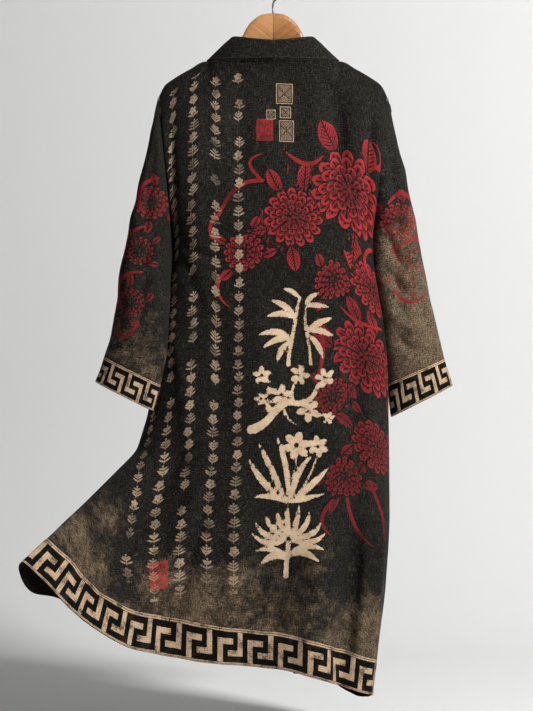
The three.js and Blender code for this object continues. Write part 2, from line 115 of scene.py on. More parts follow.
# along, outer x, outer z, under x, under z, shift back, half depth
sleeveLeft = [
    (0, 228, -235, 199, -520, 0, 26), (0.12, 240, -286, 198.5, -556, -12, 37),
    (0.25, 255, -362, 201, -592, -20, 44), (0.5, 281, -505, 205, -665, -40, 49),
    (0.75, 308, -640, 209, -742, -60, 46), (1, 331, -756, 223, -811, -72, 38),
    (1.16, 349, -804, 234, -862, -78, 36),
]
sleeveRight = [
    (0, 228, -235, 199, -520, 0, 26), (0.12, 241, -286, 200.3, -556, 9, 37),
    (0.25, 258, -362, 202.5, -592, 16, 44), (0.5, 288, -505, 212, -665, 27, 49),
    (0.75, 319, -643, 220, -742, 38, 46), (1, 346, -760, 230, -811, 42, 38),
    (1.16, 363, -813, 238, -877, 44, 36),
]
sleeveEase = {"pointUntil": 0.25, "capUntil": 0.12, "cuffEnd": 1.16, "cuffGap": -0.005}

# points across and down each piece, odd in number where they don't close a ring
mesh = {
    "backColumns": 171, "frontColumns": 91, "armholeRows": 111, "skirtRows": 334, "bandRows": 29,
    "sleeveColumns": 180, "sleeveRows": 221, "neckColumns": 21, "neckRows": 561, "neckBackRows": 61,
    "shoulderRows": 14,
}

# Soft creases, as seen from behind: x and z of the start, middle and end, half width, depth
backCreases = [
    (110, -212, 128, -282, 136, -430, 13, -5), (198, -236, 192, -420, 190, -640, 11, -5),
    (-202, -240, -204, -400, -194, -600, 13, -5), (-136, -190, -146, -442, -154, -702, 30, 4),
    (70, -180, 84, -300, 80, -420, 22, 3), (-60, -175, -66, -300, -52, -460, 20, -3),
    (168, -1060, 154, -1242, 124, -1400, 17, -9), (100, -1040, 80, -1242, 62, -1400, 22, 6),
    (36, -1080, 14, -1222, -10, -1340, 20, -5), (-46, -960, -76, -1182, -106, -1400, 22, 6),
    (-116, -940, -166, -1162, -236, -1370, 16, -7), (-200, -900, -300, -1040, -430, -1210, 20, 6),
    (-160, -900, -250, -1080, -380, -1290, 17, -7), (-110, -930, -190, -1120, -300, -1330, 20, 5),
    (196, -515, 146, -545, 92, -562, 10, -3), (-196, -518, -146, -552, -94, -566, 10, -3),
    (190, -545, 150, -600, 120, -690, 12, -3), (-192, -548, -158, -610, -138, -700, 12, -3),
    (206, -700, 190, -860, 196, -1040, 16, 4), (176, -640, 160, -800, 150, -980, 18, -4),
    (-196, -680, -176, -820, -170, -960, 16, 4), (60, -560, 50, -740, 64, -930, 24, -3),
    (-20, -600, -34, -760, -30, -920, 26, 3), (-96, -640, -104, -790, -96, -950, 20, -3),
    (120, -300, 60, -330, 0, -318, 14, -1.6), (20, -430, -50, -452, -120, -440, 14, -1.6),
    (130, -880, 70, -905, 20, -896, 14, -1.8), (-30, -1010, 40, -1030, 110, -1018, 14, -1.8),
    (-366, -1110, -330, -1150, -280, -1180, 10, -3), (-420, -1190, -400, -1230, -360, -1256, 10, -3),
    (60, -1270, 110, -1292, 168, -1284, 12, -2), (-60, -1240, -120, -1262, -176, -1276, 12, -2),
]
frontCreases = [
    (150, -220, 142, -330, 150, -480, 14, -5), (-150, -220, -144, -340, -152, -490, 14, -5),
    (196, -520, 150, -560, 110, -640, 11, -4), (-196, -520, -152, -566, -112, -650, 11, -4),
    (190, -640, 176, -850, 186, -1060, 18, 4), (-190, -640, -170, -820, -176, -960, 18, 4),
    (140, -620, 136, -840, 130, -1060, 18, -4), (-140, -640, -136, -830, -140, -1000, 18, -4),
    (110, -1000, 120, -1200, 112, -1420, 16, -6), (170, -1040, 176, -1240, 168, -1440, 18, 6),
    (-120, -980, -140, -1180, -170, -1380, 18, -7), (-190, -940, -260, -1090, -350, -1240, 20, 6),
    (-160, -960, -210, -1130, -280, -1330, 18, -6), (120, -820, 160, -846, 200, -838, 12, -2),
    (-120, -760, -160, -780, -200, -772, 12, -2),
]
sleeveCreases = [
    (226, -300, 246, -420, 252, -560, 14, -5), (212, -470, 238, -540, 282, -590, 11, -5),
    (214, -560, 246, -610, 292, -640, 11, -4), (222, -640, 262, -690, 306, -700, 12, 4),
    (262, -440, 280, -540, 300, -650, 15, 4), (240, -700, 276, -740, 326, -738, 10, -4),
    (246, -330, 262, -440, 270, -520, 12, 3), (232, -480, 248, -600, 262, -740, 13, -4),
    (286, -600, 306, -680, 330, -760, 12, -3),
]
creaseShape = {
    "ends": 0.3, "strength": 1.7, "seamReach": 30, "neckReach": 20, "armholeReach": 60, "neckShare": 0.5,
}
ripple = {"cells": (90, 38, 17), "depths": (1.6, 0.8, 0.35), "seed": 11, "lattice": 97}


def curve(table, column, at):
    # a smooth curve through one column, keyed by the first, with no overshoot between rows
    rows = np.array(table, float)
    keys, values = rows[:, 0], rows[:, column]
    slopes = np.diff(values) / np.diff(keys)
    before, after = slopes[:-1], slopes[1:]
    level = before * after <= 0
    middle = np.where(level, 0, 2 * before * after / np.where(level, 1, before + after))
    tangents = np.concatenate([slopes[:1], middle, slopes[-1:]])
    place = np.clip(at, keys[0], keys[-1])
    row = np.clip(np.searchsorted(keys, place) - 1, 0, len(keys) - 2)
    step = keys[row + 1] - keys[row]
    t = (place - keys[row]) / step
    lean = tangents[row] * t * (1 - t) ** 2 - tangents[row + 1] * t * t * (1 - t)
    return values[row] * (1 + 2 * t) * (1 - t) ** 2 + values[row + 1] * t * t * (3 - 2 * t) + step * lean


def clamp01(value):
    return np.clip(value, 0, 1)


def eased(t):
    t = clamp01(t)
    return t * t * (3 - 2 * t)


def signedPower(value, power):
    return np.sign(value) * np.abs(value) ** power


def between(start, end, share):
    return start + (end - start) * share


def points(x, y, z):
    return np.stack(np.broadcast_arrays(x, y, z), -1)


def armholeDepth(z):
    middle = (size["armholeTop"] + size["armholeLow"]) / 2
    reach = (size["armholeTop"] - size["armholeLow"]) / 2
    return size["armholeHalf"] * np.maximum(0, 1 - ((z - middle) / reach) ** 2)


def sectionPoint(around, z, face):
    turn = np.radians(around)
    half = np.where(np.cos(turn) > 0, curve(sections, 1, z), curve(sections, 2, z))
    depth = curve(sections, 3 if face > 0 else 4, z)
    x = half * signedPower(np.cos(turn), size["roundness"])
    return x, -depth * signedPower(np.sin(turn), size["roundness"])


def windShare(around):
    return np.maximum(0, -np.cos(np.radians(around))) ** blown["focus"]


def windShift(around, z, hem):
    share = windShare(around)
    t = (blown["bend"] - z) / (blown["bend"] - hem)
    bent = (t + np.hypot(t, blown["corner"])) / (1 + math.hypot(1, blown["corner"]))
    side = share * blown["side"] * bent * (1 + blown["swing"] * (1 - bent))
    lift = share * blown["lift"] * bent * (1 - blown["slowLift"] * (1 - bent))
    return side, share * blown["back"] * bent, lift


def foldDepth(around, down):
    depth = 0
    for place, half, deep, start, full, *end in folds + shoulderFolds:
        grown = eased((down - start) / (full - start))
        if end:
            grown = grown * eased((end[0] - down) / (end[0] - full))
        t = np.minimum(1, np.abs(around - place) / half)
        depth = depth + deep * grown * np.cos(t * math.pi / 2) ** 2
    return depth


def mirroredPoint(table, around):
    # a point of a line that is given from the right side to the centre back
    mirrored = around > 90
    place = np.where(mirrored, 180 - around, around)
    return np.where(mirrored, -1, 1) * curve(table, 1, place), curve(table, 2, place), curve(table, 3, place)


def topPoint(around):
    return mirroredPoint(topLine, np.where(around > 180, 360 - around, around))


def hemHeight(around):
    return curve(hemLine, 1, around)


def bandTop(around):
    grown = windShare(around) ** size["bandGrowth"]
    return hemHeight(around) + size["hemBand"] + size["hemBandBlown"] * grown


def bodyPoint(around, z, face, top, hem):
    # the outside of the body, under its point of the top line and over its point of the hem
    topX, topY, topZ = top
    opened = clamp01((topZ - z) / size["shoulderDrop"])
    x, y = sectionPoint(around, z, face)
    startX, _ = sectionPoint(around, topZ, face)
    windX, windY, windZ = windShift(around, z, hem)
    turn = np.radians(around)
    fromEdge = np.abs(np.sin(turn)) ** size["roundness"]
    edgeY = -face * armholeDepth(z) * (1 - fromEdge) ** size["edgePower"]
    fold = foldDepth(around, (topZ - z) / (topZ - hem))
    return points(
        x + (topX - startX) * (1 - eased(opened)) + windX + size["foldTurn"] * fold * np.cos(turn),
        edgeY + topY + (y - topY) * np.sqrt(opened * (2 - opened)) + windY
        - fold * np.sin(turn) - face * size["seam"] / 2,
        z + windZ)


def panelRows(topZ, hem, bandZ):
    # heights down a panel, level with each other down the armhole and even below it
    upper = np.linspace(0, 1, mesh["armholeRows"])[:, None]
    lower = np.linspace(0, 1, mesh["skirtRows"] + 1)[1:, None]
    return np.concatenate([
        between(topZ, size["armholeLow"], upper),
        between(size["armholeLow"], bandZ, lower)])


def bandRows(topZ, hem, bandZ):
    return between(bandZ - size["bandGap"], hem, np.linspace(0, 1, mesh["bandRows"])[:, None])


def backGrid(rowsOf):
    around = np.linspace(0, 180, mesh["backColumns"])[None]
    top = topPoint(around)
    hem = hemHeight(around)
    z = rowsOf(top[2], hem, bandTop(around))
    return bodyPoint(np.broadcast_to(around, z.shape), z, 1, top, hem)


def frontEdge(sign, z, inset=0):
    # the angle of the front's free edge, or of a line beyond it
    half = curve(sections, 1 if sign > 0 else 2, z)
    x = curve(sections, 5, z) - inset
    angle = np.degrees(np.arccos((x / half) ** (1 / size["roundness"])))
    return 360 - angle if sign > 0 else 180 + angle


def frontGrid(sign, rowsOf):
    across = np.linspace(0, 1, mesh["frontColumns"])[None]
    if sign > 0:
        across = across[:, ::-1]
    side = 360 if sign > 0 else 180
    top = topPoint(side - sign * neckPoint * across)
    foot = between(side, frontEdge(sign, hemHeight(270)), across)
    hem = hemHeight(foot)
    z = rowsOf(top[2], hem, bandTop(foot))
    return bodyPoint(between(side, frontEdge(sign, z), across), z, -1, top, hem)


def frontBand(sign, z, across):
    side = 360 if sign > 0 else 180
    top = topPoint(np.array(side - sign * neckPoint))
    foot = frontEdge(sign, hemHeight(270))
    hem = hemHeight(foot)
    seam = bodyPoint(frontEdge(sign, z), z, -1, top, hem)
    lying = bodyPoint(frontEdge(sign, z, size["neckBand"] * across), z, -1, top, hem)
    standing = seam + points(-sign * size["neckBand"] * across, 0, size["collarStand"] * across)
    return between(standing, lying, eased((top[2] - z) / size["collarDrop"])[..., None])


def backBand(around, across):
    free = points(*mirroredPoint(collarEdge, around))
    return between(points(*topPoint(around)), free, across[..., None])


def neckbandGrid():
    corner = points(*topPoint(np.array(neckPoint)))
    across = np.linspace(0, 1, mesh["neckColumns"])[None]

    def shares(seam):
        rightSide = points(np.abs(seam[..., 0]), seam[..., 1], seam[..., 2])
        apart = np.linalg.norm(rightSide - corner, axis=-1)
        gap = (size["seam"] + size["neckGap"] * clamp01(1 - apart / size["neckBand"])) / size["neckBand"]
        return between(gap, 1, across)

    def front(sign):
        hem = hemHeight(frontEdge(sign, hemHeight(270)))
        count = (mesh["neckRows"] - mesh["neckBackRows"]) // 2
        z = np.linspace(corner[2], hem, count + 1)[1:, None]
        seam = frontBand(sign, z, np.zeros_like(z))
        share = shares(seam)
        return frontBand(sign, np.broadcast_to(z, share.shape), share)

    around = np.linspace(neckPoint, 180 - neckPoint, mesh["neckBackRows"])[:, None]
    share = shares(points(*topPoint(around)))
    neck = backBand(np.broadcast_to(around, share.shape), share)
    return np.concatenate([front(1)[::-1], neck, front(-1)])


def sleeveGrid(table, sign, start, end, rows):
    along = np.linspace(start, end, rows)[:, None]
    turn = 2 * math.pi * np.arange(mesh["sleeveColumns"])[None] / mesh["sleeveColumns"]
    outerX, outerZ, underX, underZ, shift, half = (curve(table, column, along) for column in range(1, 7))
    point = between(2, 1, clamp01(along / sleeveEase["pointUntil"]))
    cap = size["capGap"] * np.maximum(0, np.cos(turn)) ** 2 * (1 - clamp01(along / sleeveEase["capUntil"]))
    x = (outerX + underX) / 2 + (outerX - underX) / 2 * np.cos(turn) + size["seam"] + cap
    y = shift - half * signedPower(np.sin(turn), point)
    z = (outerZ + underZ) / 2 + (outerZ - underZ) / 2 * np.cos(turn)
    grid = points(sign * x, y, z)
    return grid[:, ::-1] if sign < 0 else grid


def bent(start, through, end, legs=10):
    # points along the curve through three of them, or the values that go with those
    t = np.linspace(0, 1, legs + 1).reshape(-1, *[1] * np.ndim(start))
    return (1 - t) ** 2 * start + 2 * t * (1 - t) * (2 * through - (start + end) / 2) + t * t * end


def bentLine(row):
    x, y = row[0:6:2], row[1:6:2]
    return np.stack([bent(*x), bent(*y)], -1)


def nearLine(place, line, reach):
    return ((place > line.min(0) - reach) & (place < line.max(0) + reach)).all(-1)


def alongLegs(spots, line):
    # for each leg of a line, how far along it each spot is, and how far away
    for step in range(len(line) - 1):
        leg = line[step + 1] - line[step]
        t = clamp01(((spots - line[step]) @ leg) / (leg @ leg))
        yield step, t, np.linalg.norm(spots - line[step] - t[:, None] * leg, axis=-1)


def creaseDepth(flat, table):
    depth = np.zeros(flat.shape[:-1])
    for row in table:
        half, deep = row[6:]
        line = bentLine(row)
        near = nearLine(flat, line, 3 * half)
        best = np.full(near.sum(), np.inf)
        share = np.zeros(near.sum())
        for step, t, away in alongLegs(flat[near], line):
            share = np.where(away < best, (step + t) / (len(line) - 1), share)
            best = np.minimum(best, away)
        ends = eased(np.minimum(share, 1 - share) / creaseShape["ends"])
        depth[near] += creaseShape["strength"] * deep * ends * np.exp(-(best / half) ** 2)
    return depth


def softNoise(place, cell, seed):
    # smooth noise from -1 to 1 over cloth millimetres
    count = ripple["lattice"]
    lattice = np.random.default_rng(seed).uniform(-1, 1, (count, count))
    corner = np.floor(place / cell).astype(int)
    t = eased(place / cell - corner)
    value = 0
    for dx in (0, 1):
        for dy in (0, 1):
            weight = (t[..., 0] if dx else 1 - t[..., 0]) * (t[..., 1] if dy else 1 - t[..., 1])
            value = value + weight * lattice[(corner[..., 0] + dx) % count, (corner[..., 1] + dy) % count]
    return value


def gridNormals(grid, ring):
    along = np.gradient(grid, axis=0, edge_order=2)
    if ring:
        across = np.roll(grid, -1, 1) - np.roll(grid, 1, 1)
    else:
        across = np.gradient(grid, axis=1, edge_order=2)
    normal = np.cross(across, along)
    return normal / np.linalg.norm(normal, axis=-1, keepdims=True)


def newObject(name, data):
    made = bpy.data.objects.new(name, data)
    bpy.context.collection.objects.link(made)
    return made


def clothMesh(name, outside, inside, ring, place, fields):
    # a closed shell: the outside grid, an inside grid of every other point, and the edges between
    inner = inside[::2, ::2]
    number, innerNumber, placeNumber = (
        np.arange(rows * columns).reshape(rows, columns)
        for rows, columns in (outside.shape[:2], inner.shape[:2], place.shape[:2]))
    innerNumber += number.size
    if ring:
        number, innerNumber = (np.concatenate([of, of[:, :1]], 1) for of in (number, innerNumber))

    def quads(of):
        return np.stack([of[:-1, :-1], of[:-1, 1:], of[1:, 1:], of[1:, :-1]], -1).reshape(-1, 4)

    def edges(line, innerLine):
        faces = np.stack([line[2::2], line[1::2], line[:-1:2], innerLine[:-1], innerLine[1:]], -1)
        return faces.tolist()

    def shell(of, innerOf):
        faces = quads(of).tolist() + quads(innerOf)[:, ::-1].tolist()
        for end, way in ((0, 1), (-1, -1)):
            faces += edges(of[end][::way], innerOf[end][::way])
            if not ring:
                faces += edges(of[:, end][::-way], innerOf[:, end][::-way])
        return faces

    faces = shell(number, innerNumber)
    places = np.concatenate(shell(placeNumber, placeNumber[::2, ::2]))
    vertices = np.concatenate([outside.reshape(-1, 3), inner.reshape(-1, 3)]) / 1000
    data = bpy.data.meshes.new(name)
    data.from_pydata(vertices.tolist(), [], faces)
    data.update()
    flat = place.reshape(-1, 2)[places] / 1000
    data.uv_layers.new(name="cloth").data.foreach_set("uv", flat.astype(np.float32).reshape(-1))
    for field, values in fields.items():
        both = np.concatenate([values.reshape(-1), np.zeros(inner[..., 0].size)])
        data.attributes.new(field, "FLOAT", "POINT").data.foreach_set("value", both.astype(np.float32))
    data.polygons.foreach_set("use_smooth", np.ones(len(faces), bool))
    return newObject(name, data)


def reached(grid, axis):
    # the distance over the cloth from its first row or column
    return np.insert(np.linalg.norm(np.diff(grid, axis=axis), axis=-1).cumsum(axis), 0, 0, axis)


def clothDistance(grid, centre):
    # the place of each point in the cloth: across from the centre column, and down from the top
    across = reached(grid, 1)
    return np.stack([across - across[:, centre:centre + 1], -reached(grid, 0)], -1)


def sleeveDistance(grid):
    # round the sleeve, and down its axis, so that the weave isn't slanted
    axis = (grid[-1, 1:] - grid[0, 1:]).mean(0)
    axis = axis / np.linalg.norm(axis)
    return np.stack([reached(grid - (grid @ axis)[..., None] * axis, 1), -(grid - grid[0, 0]) @ axis], -1)


def bandDistance(place, ring, unit, height):
    # a key pattern keeps to its band's edges, and closes round a cuff
    across = place[len(place) // 2, :, 0]
    if ring:
        across = across * unit * round(across[-1] / unit) / across[-1]
    down = np.linspace(0, -height, len(place))[:, None]
    return points(across[None], down, 0)[..., :2]


def facing(normal, side):
    # 1 where the cloth faces back (side -1) or front (side 1), and 0 where it faces away
    return eased(0.5 + side * 1.5 * normal[..., 1])


def calmSides(grid, reach=creaseShape["seamReach"]):
    # creases die away towards the two side edges, where the next piece is sewn on
    across = reached(grid, 1)
    return eased(np.minimum(across, across[:, -1:] - across) / reach)


def calmTop(grid, reach=creaseShape["seamReach"]):
    return eased(reached(grid, 0) / reach)


cloth = {}
shapes = {}
single = {"wall": size["wall"], "proud": 0}
doubled = {"wall": size["bandWall"], "proud": size["proud"]}


def buildCloth(node, grid, wall, proud, ring=False, centre=0, flip=False, turn=None, face=0,
               creases=(), fields=None, calm=1, onAxis=False, unit=None):
    shapes[node] = grid.shape[:2]
    normal = gridNormals(grid, ring)
    wide = np.concatenate([grid, grid[:, :1]], 1) if ring else grid
    place = sleeveDistance(wide) if onAxis else clothDistance(wide, centre)
    if unit:
        place = bandDistance(place, ring, *unit)
    if flip:
        place[..., 0] *= -1
    flat = np.stack([np.abs(grid[..., 0]) if ring else grid[..., 0], grid[..., 2]], -1)
    depth = sum(creaseDepth(flat, table) * facing(normal, side) for table, side in creases)
    for number, (cell, deep) in enumerate(zip(ripple["cells"], ripple["depths"])):
        depth = depth + deep * softNoise(grid[..., [0, 2]], cell, ripple["seed"] + number)
    grid = grid + normal * (depth * calm)[..., None]
    normal = gridNormals(grid, ring)
    if turn:
        turn(normal, grid)
        normal = normal / np.linalg.norm(normal, axis=-1, keepdims=True)
    inside = grid + normal * (proud - wall)
    if face:
        # the two sides of the robe don't meet inside the shoulder
        shoulder = inside[:mesh["shoulderRows"], :, 1]
        shoulder[:] = -face * np.maximum(-face * shoulder, size["seam"] / 2)
    made = fields(place[:, :grid.shape[1]], grid) if fields else {}
    made["outer"] = np.ones(grid.shape[:2])
    cloth[node] = clothMesh(node + "_cloth", grid + normal * proud, inside, ring, place, made)


def turnArmhole(normal, grid, column):
    # at the armhole a panel's wall doesn't lean out over the sleeve
    count = mesh["armholeRows"]
    leaning = normal[:count, column, 0] * grid[:count, column, 0] < 0
    normal[:count, column, 0][leaning] = 0


def turnBack(normal, grid):
    turnArmhole(normal, grid, 0)
    turnArmhole(normal, grid, -1)
    around = np.linspace(0, 180, normal.shape[1])
    shoulder = (around < neckPoint) | (around > 180 - neckPoint)
    normal[0, shoulder, 1] = 0
    normal[0, ~shoulder, 2] = 0


def turnFront(sign):
    def turn(normal, grid):
        turnArmhole(normal, grid, -1 if sign > 0 else 0)
        normal[0, :, 1] = 0
    return turn


def turnSleeve(normal, grid):
    normal[0, :, 0] = 0


# The prints, in cloth millimetres: across from the middle of the back and down from its top.
# Brush strokes: x and y of the start, middle and end, and the half width at each.
spray = [
    (-14, -70, -12, -46, -8, -24, 4.4, 3.6, 4.4), (-7, -18, -3, 2, 0, 20, 4.2, 3.4, 4.2),
    (1, 27, 4, 44, 9, 64, 3.8, 3, 2.6), (30, -66, 27, -34, 22, -6, 3.2, 2.6, 3.2),
    (21, 0, 19, 24, 20, 46, 3, 2.4, 1.6), (-10, -20, -34, -20, -66, -38, 1.2, 6.6, 0.3),
    (-10, -18, -38, -6, -74, -12, 1.2, 6.6, 0.3), (-12, -24, -28, -42, -36, -66, 1.2, 6, 0.3),
    (0, 22, -26, 30, -58, 24, 1.2, 6.4, 0.3), (-2, 26, -22, 46, -50, 56, 1.2, 6.4, 0.3),
    (24, -4, 46, 2, 76, -14, 1.2, 6.6, 0.3), (24, 0, 48, 18, 74, 22, 1.2, 6.4, 0.3),
    (26, -8, 44, -28, 54, -54, 1.2, 6, 0.3), (20, 46, 40, 52, 66, 46, 1.2, 5.6, 0.3),
    (20, 48, 30, 66, 48, 76, 1, 5, 0.3), (8, 62, -6, 74, -26, 80, 1, 5, 0.3),
]
bough = [
    (-80, -56, -56, -44, -36, -22, 9.5, 8, 7), (-36, -22, -14, -4, 6, -4, 7.5, 7, 5.5),
    (6, -4, 30, 2, 46, 24, 6, 4.6, 4), (46, 24, 58, 42, 78, 52, 4, 3, 1),
    (-42, -28, -52, 2, -44, 30, 4.4, 3.4, 2.6), (-44, 30, -46, 48, -62, 62, 2.6, 2, 0.8),
    (2, -4, 0, 22, 12, 44, 3.6, 2.6, 2), (12, 44, 16, 58, 10, 72, 2, 1.6, 0.8),
    (20, -2, 44, -20, 60, -22, 3.6, 2.6, 2), (60, -22, 70, -24, 80, -34, 2, 1.6, 0.6),
    (-20, -12, -8, -34, 8, -46, 3.4, 2.4, 0.8),
]
grass = [
    (-12, -66, -52, -24, -80, 22, 2.4, 6.4, 0.3), (-6, -66, -34, -2, -62, 54, 2.4, 6, 0.3),
    (0, -66, -6, 6, -28, 72, 2.2, 5.6, 0.3), (4, -66, 22, -6, 48, 26, 2.2, 5.6, 0.3),
    (8, -66, 46, -30, 82, 8, 2.4, 6.4, 0.3), (4, -66, 34, -58, 72, -46, 2, 5.4, 0.3),
    (-8, -66, -36, -56, -70, -58, 2, 5.4, 0.3), (2, -60, 12, -6, 14, 34, 1.6, 2, 1.8),
    (10, -60, 40, -16, 58, 34, 1.2, 1.8, 1.4),
]
crown = [
    (-6, -82, -4, -52, 0, -18, 5.4, 4.6, 4.6), (-2, -52, -26, -42, -58, -62, 2, 7.6, 0.3),
    (-4, -46, -32, -30, -66, -34, 1.6, 6, 0.3), (0, -44, 28, -34, 62, -52, 2, 7.6, 0.3),
    (2, -38, 36, -22, 70, -26, 1.6, 6, 0.3), (-7, -12, -42, -18, -74, 4, 2.4, 5.6, 0.4),
    (-6, -8, -44, -2, -66, 26, 2.4, 5.6, 0.4), (-5, -5, -34, 14, -48, 46, 2.4, 5.4, 0.4),
    (-3, -3, -18, 24, -26, 58, 2.4, 5.2, 0.4), (0, -2, -2, 28, -4, 68, 2.4, 5.2, 0.4),
    (3, -3, 16, 24, 20, 60, 2.4, 5.2, 0.4), (5, -5, 32, 16, 42, 50, 2.4, 5.4, 0.4),
    (6, -8, 44, 2, 64, 28, 2.4, 5.6, 0.4), (7, -12, 42, -14, 74, 8, 2.4, 5.6, 0.4),
]
# x, y, strokes and the flowers on them: x, y, radius, petals, turn in degrees
brushed = [
    (44, -543, spray, []),
    (38, -684, bough, [
        (-22, 12, 20, 5, 10), (32, -16, 22, 5, 50), (14, 52, 18, 5, 0), (-60, 50, 17, 5, 20),
        (64, 50, 18, 5, 35), (-62, 4, 12, 5, 35), (72, -30, 11, 5, 0)]),
    (30, -815, grass, [(16, 44, 25, 6, 15), (58, 46, 19, 6, 40)]),
    (30, -944, crown, []),
]
# Red blooms: x, y, radius, turn, how bright, how many leaves
blooms = [
    (152, -262, 82, 20, 1, 5), (40, -322, 62, 70, 1, 5), (-58, -388, 42, 10, 0.95, 4),
    (206, -425, 56, 50, 0.85, 4), (118, -448, 40, 0, 0.8, 3), (186, -584, 74, 30, 0.66, 5),
    (118, -676, 38, 60, 0.6, 3), (206, -752, 52, 15, 0.55, 4), (142, -836, 42, 40, 0.5, 4),
]
# Tendrils: as strokes
tendrils = [
    (98, -196, 62, -214, 20, -186, 1.5, 4.4, 1), (-20, -250, -74, -262, -106, -316, 3.4, 4, 2.4),
    (-106, -316, -124, -352, -96, -372, 2.4, 3.4, 1), (-92, -424, -110, -462, -84, -496, 3, 3.6, 1),
    (88, -520, 98, -580, 84, -640, 3.4, 4.4, 2.4), (226, -500, 170, -516, 132, -500, 2.4, 4, 1),
    (150, -880, 172, -930, 214, -950, 4, 3.6, 1), (118, -876, 96, -912, 116, -944, 3.4, 3.4, 1),
    (196, -826, 228, -880, 236, -926, 3.4, 3.6, 1), (210, -180, 226, -150, 202, -132, 3, 3, 1),
    (-20, -250, -46, -214, -20, -196, 2.4, 3, 1), (214, -330, 190, -370, 208, -400, 3, 4, 3),
]
sleeveTendrils = {
    "left": [
        (-226, -402, -262, -424, -256, -470, 2, 4, 1.4), (-254, -500, -286, -520, -292, -560, 2, 4, 1.4),
        (-256, -590, -300, -606, -296, -664, 2, 4, 1.4), (-262, -690, -292, -716, -318, -694, 2, 4, 1)],
    "right": [
        (228, -452, 262, -430, 288, -470, 2, 4, 1.4), (252, -536, 290, -520, 306, -548, 2, 4, 1.4),
        (240, -620, 272, -646, 308, -628, 2, 4, 1), (300, -500, 318, -530, 300, -600, 1.4, 3, 1)],
}
# the same on the sleeves, by x and z
sleeveBlooms = {
    "left": [(-240, -452, 36, 20, 0.62, 4), (-262, -548, 30, 60, 0.56, 4), (-280, -650, 32, 10, 0.5, 4)],
    "right": [(250, -486, 40, 20, 0.72, 4), (288, -560, 27, 50, 0.68, 3), (262, -604, 24, 80, 0.6, 3)],
}
stroke = {"far": 20, "thinnest": 0.2}
petal = {"reach": (0.24, 0.66, 1), "half": (0.07, 0.31, 0.12)}
leaf = {
    "seed": 4, "foot": 0.92, "turn": 20, "length": 0.85, "uneven": (0.8, 1.1), "half": 0.27, "lean": 50,
    "round": 0.6, "tone": 0.85,
}
motif = {"fields": ("motifX", "motifY", "motifKind", "motifSize", "motifTone"), "far": 60, "edge": 30}
wear = {"hemReach": 255, "left": (-520, -800, 0.85), "right": (-340, -640, 1.5)}


def insideStrokes(place, rows):
    # how far inside the nearest stroke each place is, and below 0 outside
    inside = np.full(place.shape[:-1], -float(stroke["far"]))
    for row in rows:
        line = bentLine(row)
        half = np.maximum(stroke["thinnest"], bent(*row[6:]))
        near = nearLine(place, line, stroke["far"])
        best = inside[near]
        for step, t, away in alongLegs(place[near], line):
            best = np.maximum(best, between(half[step], half[step + 1], t) - away)
        inside[near] = best
    return inside


def flowerRows(x, y, radius, petals, turn):
    # one stroke for each petal
    rows = []
    for number in range(petals):
        angle = math.radians(turn + 360 * number / petals)
        row = []
        for share in petal["reach"]:
            row += [x + share * radius * math.cos(angle), y + share * radius * math.sin(angle)]
        rows.append(row + [share * radius for share in petal["half"]])
    return rows


def movedRows(rows, x, y):
    return [(a + x, b + y, c + x, d + y, e + x, f + y, *half) for a, b, c, d, e, f, *half in rows]


def bloomFields(place, table):
    # each place's own position in the bloom or leaf nearest to it, and how far it is from the next
    chance = np.random.default_rng(leaf["seed"])
    motifs = []
    for x, y, radius, turn, bright, leaves in table:
        motifs.append((1, x, y, radius, radius, math.radians(turn), bright))
        start = chance.uniform(0, 360)
        for number in range(leaves):
            angle = math.radians(start + 360 * number / leaves + chance.uniform(-leaf["turn"], leaf["turn"]))
            length = radius * leaf["length"] * chance.uniform(*leaf["uneven"])
            lean = angle + math.radians(chance.uniform(-1, 1) * leaf["lean"])
            foot = leaf["foot"] * radius
            motifs.append((
                2, x + foot * math.cos(angle), y + foot * math.sin(angle), length, length * leaf["half"],
                lean, bright * leaf["tone"]))
    first = np.full(place.shape[:-1], float(motif["far"]))
    second = first.copy()
    made = {name: np.zeros(place.shape[:-1]) for name in motif["fields"]}
    for kind, x, y, length, half, turn, bright in motifs:
        away = place - (x, y)
        along = away[..., 0] * math.cos(turn) + away[..., 1] * math.sin(turn)
        aside = away[..., 1] * math.cos(turn) - away[..., 0] * math.sin(turn)
        if kind == 1:
            distance = np.hypot(along, aside) - length
        else:
            distance = np.hypot(along - np.clip(along, 0, length), aside) - leaf["round"] * half
        nearer = distance < first
        second = np.where(nearer, first, np.minimum(second, distance))
        first = np.where(nearer, distance, first)
        for name, value in zip(motif["fields"], (along / length, aside / length, kind, length, bright)):
            made[name] = np.where(nearer, value, made[name])
    made["motifEdge"] = np.minimum((second - first) / 2, motif["edge"])
    return made


def hemFade(place, grid):
    # how worn the dye is, by the height over the hem band
    over = np.linalg.norm(grid - grid[-1:], axis=-1)
    return {"fade": clamp01(1 - over / wear["hemReach"])}


def backFields(place, grid):
    rows = []
    for x, y, strokes, flowers in brushed:
        rows += movedRows(strokes, x, y)
        for flower in flowers:
            rows += movedRows(flowerRows(*flower), x, y)
    return {
        "tanInk": insideStrokes(place, rows), "redInk": insideStrokes(place, tendrils),
        **bloomFields(place, blooms), **hemFade(place, grid),
    }


def sleeveFields(side):
    def fields(place, grid):
        seen = grid[..., [0, 2]]
        top, low, much = wear[side]
        return {
            "redInk": insideStrokes(seen, sleeveTendrils[side]),
            "fade": much * eased((top - grid[..., 2]) / (top - low)),
            **bloomFields(seen, sleeveBlooms[side]),
        }
    return fields


# the key pattern's repeat and the band's height
fretSize = {"hem": (61, 72.5), "cuff": (41, 53)}

print("cloth pieces")


